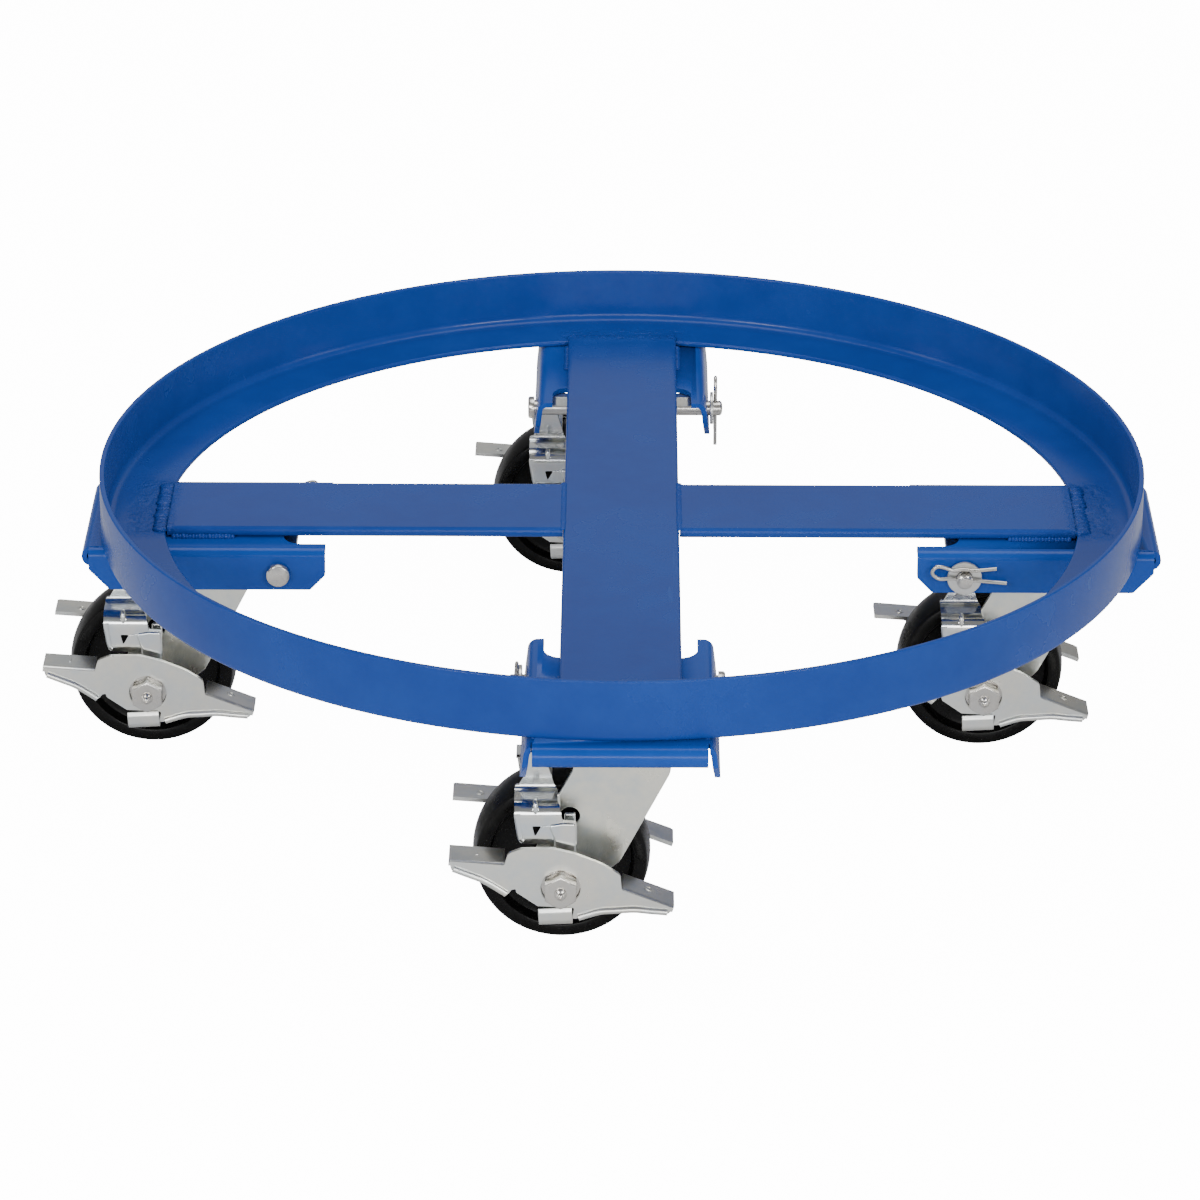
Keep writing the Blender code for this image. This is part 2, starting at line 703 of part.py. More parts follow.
def wheel_mesh():
    """Wheel about its own axle, which lies along Y."""
    half = WHEEL_WIDTH / 2
    bore, rim = BEARING_R + GAP, WHEEL_R - RIM_DEPTH
    upper = [
        (bore, HUB_HALF),
        (HUB_R, HUB_HALF),
        (HUB_R, WEB_HALF),
        (rim, WEB_HALF),
        (rim, half),
        (WHEEL_R - TREAD_CROWN, half),
    ]
    profile = upper + [(WHEEL_R, 0.0)] + [(r, -y) for r, y in reversed(upper)]
    mesh = taken_from(turned("wheel", profile, WHEEL_SEGMENTS, axis="Y", ring=True))
    mesh.transform(Matrix.Rotation(math.pi / WHEEL_SEGMENTS, 4, "Y"))  # a flat faces the floor
    return mesh


def bearing_mesh():
    bore = AXLE_R + GAP
    end = HUB_HALF + BEARING_PROUD
    profile = [(bore, end), (BEARING_R, end), (BEARING_R, -end), (bore, -end)]
    return taken_from(turned("wheel_bearing", profile, 12, axis="Y", ring=True))


def axle_mesh():
    """Bolt, spacer sleeves, the round collars that the levers turn on, nuts and grease fittings."""
    sleeve = FORK_HALF + GAP
    collar = LEVER_FACE - LEVER_SHEET - COLLAR_DEPTH
    nut = LEVER_FACE
    end = nut + AXLE_NUT_THICK
    upper = [
        (0, end + ZERK_LENGTH),
        (ZERK_R, end + ZERK_LENGTH),
        (ZERK_R, nut),
        (COLLAR_R, nut),
        (COLLAR_R, collar),
        (SLEEVE_R, collar),
        (SLEEVE_R, sleeve),
        (AXLE_R, sleeve),
    ]
    profile = upper + [(r, -y) for r, y in reversed(upper)]
    axle = turned("axle", profile, 12, axis="Y")
    for side in (-1, 1):
        low, high = sorted((side * (nut - 0.5), side * end))
        nut_r = hex_corner_r(AXLE_NUT_AF)
        boolean(axle, rod(f"axle_nut_{low:.0f}", nut_r, low, high, "Y", sides=6), "UNION")
    return taken_from(axle)


def lever_mesh():
    """Brake lever on the -Y side, about the axle, level: a plate with a pedal bent in at each end."""
    half = [
        (0.0, 23.6),
        (24.0, 20.5),
        (31.0, 16.0),
        PEDAL_START,
        PEDAL_TIP,
        (62.2, -2.0),
        (43.2, -3.3),
        (26.7, -9.4),
        (12.7, -15.2),
        (9.0, -22.5),
    ]
    hole = arc((0, 0), COLLAR_R + GAP, 0, 337.5, 15)
    middle = LEVER_FACE - LEVER_SHEET / 2
    lever = flat("brake_lever", [mirrored(half), hole], LEVER_SHEET, "XZ", -middle)
    along = (Vector(PEDAL_TIP) - Vector(PEDAL_START)).normalized()
    down = Vector((along.y, -along.x)) * LEVER_SHEET
    inside = down * 0.15
    start = Vector(PEDAL_START) + along * PEDAL_INSET[0] + inside
    tip = Vector(PEDAL_TIP) - along * PEDAL_INSET[1] + inside
    for side in (-1, 1):
        corners = [start, tip, tip + down, start + down]
        loop = [(side * x, z) for x, z in corners]
        inset = LEVER_FACE - PEDAL_DEPTH / 2 - 0.5
        pedal = flat(f"pedal_{side}", [loop], PEDAL_DEPTH, "XZ", -inset)
        boolean(lever, pedal, "UNION")
    return taken_from(lever)


def shoe_mesh():
    """Brake shoe about the swivel axis: a saddle over the tread, with a cheek outside each leg."""
    foot, bridge = LEDGE - CHEEK_HEIGHT, TREAD_TOP + SHOE_CLEARANCE
    inner = TONGUE_FACE - SHOE_SHEET
    back, front, step = -TRAIL + CHEEK_BACK, -TRAIL + CHEEK_FRONT, -TRAIL + CHEEK_FRONT + CHEEK_STEP
    tongue_back, tongue_front = -TRAIL + TONGUE_BACK, -TRAIL + TONGUE_FRONT
    tab_x, tab_z = -TRAIL + TAB_AT, TREAD_TOP - TAB_DROP
    outline = rounded(
        [
            (back, LEDGE + 5),
            (front, LEDGE + 5),
            (front, LEDGE - 9),
            (step, LEDGE - 12),
            (step, foot + 2),
            (front + 2, foot + 4),
            (back + 2, foot + 6),
        ],
        [0, 0, 2, 2, 2, 2, 4],
        2,
    )
    shoe = block(
        "brake_shoe",
        (tongue_back, -inner - 1, bridge),
        (tongue_front, inner + 1, bridge + SHOE_SHEET),
    )
    for side in (-1, 1):
        low, high = sorted((side * inner, side * TONGUE_FACE))
        tongue = block(
            f"tongue_{side}",
            (tongue_back, low, LEDGE - 0.8 * SHOE_SHEET),
            (tongue_front, high, FLANGE_BOTTOM - FLANGE_CLEARANCE),
        )
        path = [(side * (inner + 0.5), LEDGE), (side * CHEEK_FACE, LEDGE), (side * CHEEK_FACE, foot)]
        if side < 0:
            path.reverse()
        cheek_path = rounded(path, SHOE_BEND_R, 3, closed=False)
        cheek = bent(f"cheek_{side}", cheek_path, 3 * WHEEL_R, SHOE_SHEET, "YZ")
        boolean(cheek, flat(f"cheek_side_{side}", [outline], 4 * CHEEK_FACE, "XZ"), "INTERSECT")
        tab_low, tab_high = sorted((side * (FORK_HALF - 2), side * (CHEEK_FACE - 0.5)))
        tab = block(
            f"tab_{side}",
            (tab_x - TAB_WIDTH / 2, tab_low, tab_z - TAB_HEIGHT / 2),
            (tab_x + TAB_WIDTH / 2, tab_high, tab_z + TAB_HEIGHT / 2),
        )
        for part in (tongue, cheek, tab):
            boolean(shoe, part, "UNION")
    return taken_from(shoe)


# ---------------------------------------------------------------- assembly


def stations():
    """The bracket, caster plate, kingpin, race, pin, washer and hairpin at each station."""
    meshes = {
        "bracket": (bracket_mesh(), BRACKET_ENAMEL, 0.0),
        "caster_plate": (plate_mesh(), ZINC, SWIVEL_R),
        "kingpin": (kingpin_mesh(), BRIGHT, SWIVEL_R),
        "swivel_race": (race_mesh(), RACE_STEEL, SWIVEL_R),
    }
    pinned = {
        "clevis_pin": (pin_mesh(), BRIGHT),
        "pin_washer": (washer_mesh(), ZINC),
        "hairpin": (hairpin_mesh(), BRIGHT),
    }
    for station, degrees in STATIONS.items():
        home = empty(f"{station}_station", (0, 0, 0), degrees)
        for name, (mesh, finish, radius) in meshes.items():
            piece(f"{station}_{name}", mesh, finish, home, (radius, 0, 0))
        turn = Matrix.Rotation(math.radians(CLIP_ANGLES[station]), 4, "Y")
        for name, (mesh, finish) in pinned.items():
            piece(f"{station}_{name}", mesh, finish, home, (PIN_STATION_R, 0, PIN_Z), turn)


def casters():
    """The turning part of each caster, with everything about the axle on an empty of its own."""
    fork, shoe = fork_mesh(), shoe_mesh()
    tilt = Matrix.Rotation(math.radians(LEVER_TILT), 4, "Y")
    half_turn = Matrix.Rotation(math.radians(180), 4, "Z")
    lever = lever_mesh()
    on_axle = {
        "wheel": (wheel_mesh(), WHEEL_BLACK, None),
        "wheel_bearing": (bearing_mesh(), BEARING_STEEL, None),
        "axle": (axle_mesh(), BRIGHT, None),
        "near_brake_lever": (lever, ZINC, tilt),
        "far_brake_lever": (lever, ZINC, tilt @ half_turn),
    }
    for station, degrees in STATIONS.items():
        angle = math.radians(degrees)
        place = (SWIVEL_R * math.cos(angle), SWIVEL_R * math.sin(angle), 0)
        swivel = empty(f"{station}_swivel", place)
        axle = empty(f"{station}_axle_line", (-TRAIL, 0, AXLE_Z), parent=swivel)
        piece(f"{station}_fork", fork, ZINC, swivel)
        piece(f"{station}_brake_shoe", shoe, ZINC, swivel)
        for name, (mesh, finish, turn) in on_axle.items():
            piece(f"{station}_{name}", mesh, finish, axle, turn=turn)


ring()
cross()
stations()
casters()
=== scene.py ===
# %% [markdown]
# # A drum dolly, finished around its CAD frame
# The real object is a hoop of rolled steel angle that a drum stands in, a cross of flat bar that takes
# the drum's weight, and four braked swivel casters. A bracket of bent sheet holds each caster by a hook
# and a clevis pin. The frame already says where every piece is and how it moves. This lesson gives each
# piece its real edges, bends and finish, in the same places.

# %% Load the frame
import math

import bmesh
import bpy
from mathutils import Matrix, Vector
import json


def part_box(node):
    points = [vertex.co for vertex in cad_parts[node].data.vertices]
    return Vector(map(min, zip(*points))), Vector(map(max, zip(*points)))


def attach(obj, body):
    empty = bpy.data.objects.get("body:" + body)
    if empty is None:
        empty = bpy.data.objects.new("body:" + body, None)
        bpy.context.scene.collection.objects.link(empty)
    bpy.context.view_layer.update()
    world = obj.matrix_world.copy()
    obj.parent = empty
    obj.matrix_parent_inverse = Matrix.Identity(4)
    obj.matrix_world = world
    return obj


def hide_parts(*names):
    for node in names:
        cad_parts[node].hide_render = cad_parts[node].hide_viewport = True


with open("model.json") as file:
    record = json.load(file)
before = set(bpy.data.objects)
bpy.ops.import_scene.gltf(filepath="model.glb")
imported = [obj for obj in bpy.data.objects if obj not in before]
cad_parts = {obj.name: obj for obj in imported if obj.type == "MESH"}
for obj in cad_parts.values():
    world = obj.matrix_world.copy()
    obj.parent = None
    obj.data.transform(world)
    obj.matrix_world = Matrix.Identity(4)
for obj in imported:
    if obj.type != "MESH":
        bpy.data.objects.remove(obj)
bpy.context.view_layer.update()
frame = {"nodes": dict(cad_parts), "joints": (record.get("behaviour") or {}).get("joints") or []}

# %% [markdown]
# ## Places and driving sizes
# A maker works from a few datums. Here they are the joints' places and the boxes of CAD nodes, so
# nothing is measured twice. Lengths in this script are millimetres; one factor turns them into metres.

# %% Datums from the frame
MM = 0.001
STATIONS = {"right": 0.0, "back": 90.0, "left": 180.0, "front": 270.0}
JOINTS = {joint["name"]: joint for joint in frame["joints"]}


def box_mm(node):
    low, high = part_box(node)
    return low / MM, high / MM


def joint_mm(name):
    return Vector(JOINTS[name]["pos_m"]) / MM


RING_LOW, RING_HIGH = box_mm("ring")
RING_R = RING_HIGH.x
WEB_LOW, WEB_HIGH = box_mm("right_bracket")
PLATE_LOW, PLATE_HIGH = box_mm("right_caster_plate")
BAR_HIGH = box_mm("right_bar")[1]
FORK_LOW, FORK_HIGH = box_mm("right_fork")
WHEEL_LOW, WHEEL_HIGH = box_mm("right_wheel")
AXLE_Z = joint_mm("right_wheel_spin").z
SWIVEL_R = joint_mm("right_swivel").x
TRAIL = SWIVEL_R - joint_mm("right_wheel_spin").x
PIN_STATION_R = joint_mm("right_pin_turn").x
PIN_Z = joint_mm("right_pin_turn").z
GAP = 0.3


def about_z(degrees):
    return Matrix.Rotation(math.radians(degrees), 4, "Z")


print(f"ring radius {RING_R:.1f}, axle at {AXLE_Z:.1f}, swivel at {SWIVEL_R:.1f}, trail {TRAIL:.1f} mm")

# %% [markdown]
# ## The camera, the floor and the light
# A long lens from a little over three metres keeps the hoop's ellipse calm. The floor and the light are
# plain, so that the paint and the zinc carry the picture. Wide soft lights suit gloss enamel: it shows
# them as long pale bands instead of hard spots.

# %% Objects and meshes


def work(name, data):
    made = bpy.data.objects.new(name, data)
    bpy.context.scene.collection.objects.link(made)
    return made


def mesh_from(name, shape):
    """The mesh of a bmesh, which is then freed."""
    made = bpy.data.meshes.new(name)
    shape.to_mesh(made)
    shape.free()
    return made


# %% Camera
LENS = 167.27
CAMERA_AT = (0.0008, -3.0637, 1.3399)
CAMERA_TURN = (65.41, -0.12, 0.307)

camera_data = bpy.data.cameras.new("studio_camera")
camera_data.lens = LENS
camera_data.sensor_width = 36.0
camera = work("studio_camera", camera_data)
camera.location = CAMERA_AT
camera.rotation_euler = [math.radians(angle) for angle in CAMERA_TURN]
bpy.context.scene.camera = camera
print("camera at", CAMERA_AT)

# %% Nodes and finishes


def fill(tree, inputs, values):
    """Each input gets a link or a plain value."""
    for key, value in values.items():
        if isinstance(value, bpy.types.NodeSocket):
            tree.links.new(value, inputs[key])
        else:
            inputs[key].default_value = value


def node(tree, kind, sockets=None, **settings):
    made = tree.nodes.new(kind)
    for key, value in settings.items():
        setattr(made, key, value)
    fill(tree, made.inputs, sockets or {})
    return made


def out_of(tree, kind, sockets=None, **settings):
    return node(tree, kind, sockets, **settings).outputs[0]


def maths(tree, operation, a, b=0.0, c=0.0):
    return out_of(tree, "ShaderNodeMath", {0: a, 1: b, 2: c}, operation=operation)


def new_finish(name):
    """A new material, its tree and the inputs of its Principled shader."""
    made = bpy.data.materials.new(name)
    made.use_nodes = True
    return made, made.node_tree, made.node_tree.nodes["Principled BSDF"].inputs


# %% Floor and lights
FLOOR_Z = WHEEL_LOW.z
FLOOR_HALF = 12.0
PAPER_TONE, PAPER_ROUGH = 0.82, 0.9
PAPER_LIFT = 14.0  # light added to the paper where the camera looks at it
WORLD_LIGHT = 0.24
WHITE = (1, 1, 1, 1)
AIM = (0, 0, -0.05)
LIGHTS = {  # place, target and size in metres, and watts
    "overhead": ((0.0, 0.3, 2.6), (0, 0, 0), (2.0, 1.6), 38),
    "left_bank": ((-1.9, -2.9, 1.6), AIM, (0.9, 0.9), 42),
    "right_bank": ((1.9, -2.9, 1.6), AIM, (0.9, 0.9), 42),
    "left_strip": ((-2.2, -0.5, 0.45), AIM, (0.35, 1.5), 7),
    "right_strip": ((2.2, -0.5, 0.45), AIM, (0.35, 1.5), 7),
    "front_bank": ((0.0, -3.6, 0.7), AIM, (2.4, 0.8), 48),
    "back_bank": ((0.0, 3.2, 1.3), (0, 0, 0), (3.0, 1.4), 4.5),
}


def plain_floor():
    shape = bmesh.new()
    bmesh.ops.create_grid(shape, x_segments=1, y_segments=1, size=FLOOR_HALF)
    mesh = mesh_from("floor", shape)
    mesh.transform(Matrix.Translation((0, 0, FLOOR_Z * MM)))
    finish, tree, shader = new_finish("floor_paper")
    seen = node(tree, "ShaderNodeLightPath").outputs["Is Camera Ray"]
    fill(tree, shader, {
        "Base Color": (PAPER_TONE, PAPER_TONE, PAPER_TONE, 1), "Roughness": PAPER_ROUGH,
        "Emission Color": WHITE, "Emission Strength": maths(tree, "MULTIPLY", seen, PAPER_LIFT),
    })
    mesh.materials.append(finish)
    work("floor", mesh)


def soft_light(name, place, target, size, watts):
    data = bpy.data.lights.new(name, "AREA")
    data.shape = "RECTANGLE"
    data.size, data.size_y = size
    data.energy = watts
    made = work(name, data)
    made.location = place
    made.rotation_euler = (Vector(target) - Vector(place)).to_track_quat("-Z", "Y").to_euler()


plain_floor()
for name, values in LIGHTS.items():
    soft_light(name, *values)

world = bpy.data.worlds.new("studio_world")
world.use_nodes = True
sky = world.node_tree.nodes["Background"].inputs
fill(world.node_tree, sky, {"Color": WHITE, "Strength": WORLD_LIGHT})
bpy.context.scene.world = world
print("floor at", round(FLOOR_Z, 2), "mm, with", len(LIGHTS), "lights")

# %% [markdown]
# ## Shared surface effects
# Paint, zinc and steel all show soft clouds of tone, a fine grain and a few marks from handling. Each
# effect is one shader node group with named inputs, and a material places it with its own values. A
# group only puts out a mask or a normal, so that the Principled shader stays in the material.

# %% Node group helpers


def effect_group(name, output, **inputs):
    """A group with one output. An input with a number is a float, and any other is a vector."""
    tree = bpy.data.node_groups.new(name, "ShaderNodeTree")
    for label, value in inputs.items():
        kind = "NodeSocketFloat" if isinstance(value, float) else "NodeSocketVector"
        made = tree.interface.new_socket(name=label.replace("_", " "), in_out="INPUT", socket_type=kind)
        if value is not None:
            made.default_value = value
    kind = "NodeSocketVector" if output == "Normal" else "NodeSocketFloat"
    tree.interface.new_socket(name=output, in_out="OUTPUT", socket_type=kind)
    return tree, tree.nodes.new("NodeGroupInput").outputs, tree.nodes.new("NodeGroupOutput").inputs[0]


def effect(tree, group, **sockets):
    named = {label.replace("_", " "): value for label, value in sockets.items()}
    return out_of(tree, "ShaderNodeGroup", named, node_tree=group)


def ramp(tree, value, low, high, to_low=0.0, to_high=1.0):
    sockets = {"Value": value, "From Min": low, "From Max": high, "To Min": to_low, "To Max": to_high}
    return out_of(tree, "ShaderNodeMapRange", sockets, interpolation_type="SMOOTHSTEP")


def noise(tree, vector, scale, detail=3.0, rough=0.55):
    sockets = {"Vector": vector, "Scale": scale, "Detail": detail, "Roughness": rough}
    return out_of(tree, "ShaderNodeTexNoise", sockets)


def stretched(tree, vector, factors):
    sockets = {0: vector, 1: factors}
    return out_of(tree, "ShaderNodeVectorMath", sockets, operation="MULTIPLY")


# %% Clouds, grain and marks
SCRATCH_STRETCHES = ((1.0, 0.045, 0.3), (0.06, 1.0, 0.3))


def clouds_group():
    """Soft clouds of tone: a wide one with a finer one over it."""
    tree, given, result = effect_group(
        "clouds", "Mask", Vector=None, Wide_Scale=14.0, Fine_Scale=90.0, Fine_Share=0.35
    )
    wide = ramp(tree, noise(tree, given["Vector"], given["Wide Scale"]), 0.32, 0.68)
    fine = ramp(tree, noise(tree, given["Vector"], given["Fine Scale"]), 0.3, 0.7)
    sockets = {"Factor": given["Fine Share"], "A": wide, "B": fine}
    tree.links.new(out_of(tree, "ShaderNodeMix", sockets), result)
    return tree


def grain_group():
    """The fine relief of a surface, as a normal. Stretch draws it out along an axis."""
    tree, given, result = effect_group(
        "fine_grain", "Normal",
        Vector=None, Stretch=(1.0, 1.0, 1.0), Scale=700.0, Strength=0.1, Depth=0.0002,
    )
    height = noise(tree, stretched(tree, given["Vector"], given["Stretch"]), given["Scale"], 4.0, 0.6)
    sockets = {"Strength": given["Strength"], "Distance": given["Depth"], "Height": height}
    tree.links.new(out_of(tree, "ShaderNodeBump", sockets), result)
    return tree


def marks_group():
    """Thin rubs and scratches in two directions, broken up by a wide cloud."""
    tree, given, result = effect_group("handling_marks", "Mask", Vector=None, Scale=60.0, Amount=0.5)
    found = []
    for stretch in SCRATCH_STRETCHES:
        line = noise(tree, stretched(tree, given["Vector"], stretch), given["Scale"], 5.0, 0.7)
        found.append(ramp(tree, line, 0.66, 0.74))
    patchy = ramp(tree, noise(tree, given["Vector"], 9.0), 0.45, 0.62)
    broken = maths(tree, "MULTIPLY", maths(tree, "MAXIMUM", *found), patchy)
    tree.links.new(maths(tree, "MULTIPLY", broken, given["Amount"]), result)
    return tree


CLOUDS, GRAIN, MARKS = clouds_group(), grain_group(), marks_group()
print("effects:", CLOUDS.name, GRAIN.name, MARKS.name)

# %% [markdown]
# ## Enamel
# The frame is welded first and then sprayed, so paint runs over the weld beads and softens them. Gloss
# enamel is a coloured layer with a slightly rippled clear skin. The coat socket gives that skin, a very
# shallow grain gives its ripple, and the welded parts get a coarser relief where spatter lies under it.

# %% A weathered finish


def tint(tree, mask, under, over):
    under = under if isinstance(under, bpy.types.NodeSocket) else (*under, 1)
    sockets = {0: mask, 6: under, 7: (*over, 1)}
    return node(tree, "ShaderNodeMix", sockets, data_type="RGBA").outputs[2]


def weathered(name, cloud, mark, tones, rough, grain):
    """Clouds between two tones, marks in a third tone, and both of them in the roughness."""
    made, tree, shader = new_finish(name)
    place = tree.nodes.new("ShaderNodeTexCoord").outputs["Object"]
    wide, fine, share = cloud
    clouds = effect(tree, CLOUDS, Vector=place, Wide_Scale=wide, Fine_Scale=fine, Fine_Share=share)
    marks = effect(tree, MARKS, Vector=place, Scale=mark[0], Amount=mark[1])
    deep, light, rub = tones
    base, from_clouds, from_marks = rough
    varied = maths(tree, "MULTIPLY_ADD", clouds, from_clouds, base)
    relief = effect(tree, GRAIN, Vector=place, **grain)
    fill(tree, shader, {
        "Base Color": tint(tree, marks, tint(tree, clouds, deep, light), rub),
        "Roughness": maths(tree, "MULTIPLY_ADD", marks, from_marks, varied),
        "Normal": relief,
    })
    return made, tree, shader, place, relief


# %% Enamel materials
PAINT_RUB = (0.05, 0.13, 0.42)
PAINT_GRAIN = {"Scale": 260.0, "Strength": 0.05, "Depth": 0.0006}
PAINT_SKIN = {"Specular IOR Level": 0.20, "Coat Weight": 0.05, "Coat Roughness": 0.06}
# Spatter fades in and out between these places, in metres across and along a bar.
SPATTER_ACROSS, SPATTER_FROM, SPATTER_TO = (0.034, 0.047), (0.262, 0.270), (0.286, 0.299)


def weld_zone(tree, place):
    """1 near the ends of the cross's bars, where the leg of the ring was welded."""
    parts = node(tree, "ShaderNodeSeparateXYZ", {0: place}).outputs
    x, y = maths(tree, "ABSOLUTE", parts[0]), maths(tree, "ABSOLUTE", parts[1])
    across, along = maths(tree, "MINIMUM", x, y), maths(tree, "MAXIMUM", x, y)
    zone = ramp(tree, across, *SPATTER_ACROSS, 1.0, 0.0)
    zone = maths(tree, "MULTIPLY", zone, ramp(tree, along, *SPATTER_FROM))
    zone = maths(tree, "MULTIPLY", zone, ramp(tree, along, *SPATTER_TO, 1.0, 0.0))
    return maths(tree, "MULTIPLY", zone, ramp(tree, noise(tree, place, 160.0), 0.3, 0.55))


def enamel(name, deep, light, welded=False):
    made, tree, shader, place, skin = weathered(
        name, (7.0, 55.0, 0.3), (48.0, 0.5), (deep, light, PAINT_RUB), (0.20, 0.10, 0.22), PAINT_GRAIN
    )
    if welded:
        height = maths(tree, "MULTIPLY", weld_zone(tree, place), noise(tree, place, 330.0, 4.0))
        sockets = {"Strength": 0.9, "Distance": 0.0011, "Normal": skin, "Height": height}
        tree.links.new(out_of(tree, "ShaderNodeBump", sockets), shader["Normal"])
    fill(tree, shader, PAINT_SKIN)
    return made


FRAME_ENAMEL = enamel("frame_enamel", (0.0080, 0.045, 0.262), (0.0120, 0.060, 0.308), welded=True)
BRACKET_ENAMEL = enamel("bracket_enamel", (0.0055, 0.056, 0.330), (0.0090, 0.073, 0.380))
print("painted finishes:", FRAME_ENAMEL.name, BRACKET_ENAMEL.name)

# %% [markdown]
# ## Zinc, bright steel and the wheel's plastic
# Bright zinc plate is never one grey. It drifts between warm straw and cool blue, and a pressing shows
# the rolling grain of its sheet. Turned steel is a little cleaner, with its grain round the axis. The
# wheel is moulded, so its black has a faint bloom and a very fine tooth.

# %% Metal and plastic materials
METALS = {  # two tones, the tone of a rub, roughness, the stretch of the grain and its scale
    "zinc_plate": ((0.86, 0.84, 0.74), (0.66, 0.70, 0.70), (0.50, 0.49, 0.46), 0.26, (1, 1, 0.12), 520),
    "zinc_pressing": ((0.82, 0.81, 0.76), (0.66, 0.72, 0.77), (0.46, 0.46, 0.45), 0.13, (1, 1, 0.2), 420),
    "lever_zinc": ((0.84, 0.82, 0.74), (0.70, 0.73, 0.73), (0.48, 0.47, 0.44), 0.27, (0.12, 1, 1), 520),
    "washer_zinc": ((0.72, 0.70, 0.64), (0.64, 0.66, 0.68), (0.5, 0.48, 0.45), 0.28, (1, 1, 1), 600),
    "bright_steel": ((0.64, 0.61, 0.56), (0.58, 0.58, 0.57), (0.40, 0.38, 0.35), 0.22, (1, 0.15, 1), 600),
    "race_steel": ((0.44, 0.43, 0.40), (0.38, 0.39, 0.40), (0.22, 0.2, 0.17), 0.34, (1, 1, 0.2), 480),
    "bearing_steel": ((0.34, 0.33, 0.32), (0.28, 0.29, 0.3), (0.16, 0.15, 0.13), 0.38, (1, 0.2, 1), 480),
    "spring_wire": ((0.66, 0.63, 0.57), (0.58, 0.58, 0.57), (0.36, 0.34, 0.31), 0.24, (0.2, 1, 1), 700),
}
WHEEL_TONES = ((0.0030, 0.0030, 0.0032), (0.0065, 0.0062, 0.006), (0.035, 0.033, 0.030))


def plated(name, warm, cool, rub, rough, stretch, scale):
    grain = {"Stretch": stretch, "Scale": scale, "Strength": 0.16, "Depth": 0.0003}
    tones, varied = (warm, cool, rub), (rough, 0.10, 0.15)
    made, tree, shader, *_ = weathered(name, (42.0, 190.0, 0.3), (120.0, 0.45), tones, varied, grain)
    fill(tree, shader, {"Metallic": 1.0})
    return made


def moulded(name, tones):
    grain = {"Scale": 1400.0, "Strength": 0.12, "Depth": 0.0002}
    made, tree, shader, *_ = weathered(
        name, (24.0, 240.0, 0.4), (90.0, 0.6), tones, (0.22, 0.16, 0.2), grain
    )
    fill(tree, shader, {"Specular IOR Level": 0.14})
    return made


METAL = {name: plated(name, *values) for name, values in METALS.items()}
WHEEL_BLACK = moulded("wheel_black", WHEEL_TONES)
print("metals:", ", ".join(METAL))

# %% [markdown]
# ## A small workshop
# Sheet work, turned work and wire come back again and again, so each gets one helper. A work piece may
# carry live modifiers while it is being shaped. At the end its evaluated mesh is taken, merged and
# softened with a narrow bevel, because no real edge is perfectly sharp.

# %% Mesh helpers
FLAT_ANGLE, EDGE_ANGLE = math.radians(0.4), math.radians(32.0)


def taken(source, merge=0.002):
    """The evaluated mesh of a work piece, merged. The work piece and its cutters are removed."""
    bpy.context.view_layer.update()
    graph = bpy.context.evaluated_depsgraph_get()
    mesh = bpy.data.meshes.new_from_object(source.evaluated_get(graph), depsgraph=graph)
    mesh.transform(source.matrix_world)
    used = [step.object for step in source.modifiers if step.type == "BOOLEAN"]
    for old in [source] + used:
        bpy.data.objects.remove(old, do_unlink=True)
    shape = bmesh.new()
    shape.from_mesh(mesh)
    bmesh.ops.remove_doubles(shape, verts=shape.verts, dist=merge * MM)
    shape.to_mesh(mesh)
    shape.free()
    mesh.materials.clear()
    return mesh


def solid(source):
    name = source.name
    return work(name, taken(source))


def boolean(target, other, operation):
    step = target.modifiers.new(f"{operation.lower()} {other.name}", "BOOLEAN")
    step.operation = operation
    step.object = other
    step.solver = "EXACT"
    return target


def cut(target, other):
    return boolean(target, other, "DIFFERENCE")


def softened(source, width, segments=2):
    """A taken mesh: flat faces made whole, edges beveled, and normals weighted by face size."""
    mesh = taken(source)
    shape = bmesh.new()
    shape.from_mesh(mesh)
    bmesh.ops.dissolve_limit(
        shape, angle_limit=FLAT_ANGLE, verts=shape.verts, edges=shape.edges, delimit=set()
    )
    bmesh.ops.recalc_face_normals(shape, faces=shape.faces)
    shape.to_mesh(mesh)
    shape.free()
    mesh.shade_smooth()
    made = work("softened", mesh)
    edge = made.modifiers.new("edge", "BEVEL")
    edge.width = width * MM
    edge.segments = segments
    edge.limit_method = "ANGLE"
    edge.angle_limit = EDGE_ANGLE
    even = made.modifiers.new("even", "WEIGHTED_NORMAL")
    even.keep_sharp = True
    return taken(made, 0.0005)


def smooth(source, angle=35.0):
    """The mesh of a work piece, or a mesh as it is, shaded smooth up to an angle."""
    mesh = taken(source) if isinstance(source, bpy.types.Object) else source
    mesh.shade_smooth()
    mesh.set_sharp_from_angle(angle=math.radians(angle))
    return mesh


def joined(meshes):
    """Several closed shells as one mesh."""
    shape = bmesh.new()
    for mesh in meshes:
        shape.from_mesh(mesh)
    return mesh_from("joined", shape)


def piece(name, mesh, matrix, finish, body, *nodes):
    """A finished piece: its place goes into its mesh, and it stands for these CAD nodes."""
    own = mesh.copy()
    own.name = name
    own.transform(matrix)
    own.materials.clear()
    own.materials.append(finish)
    made = work(name, own)
    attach(made, body)
    if nodes:
        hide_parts(*nodes)
    return made


# %% Outlines


def arc(centre, radius, start, end, steps):
    """Points on a circle from one angle to another, in degrees."""
    angles = [math.radians(start + (end - start) * i / steps) for i in range(steps + 1)]
    return [(centre[0] + radius * math.cos(a), centre[1] + radius * math.sin(a)) for a in angles]


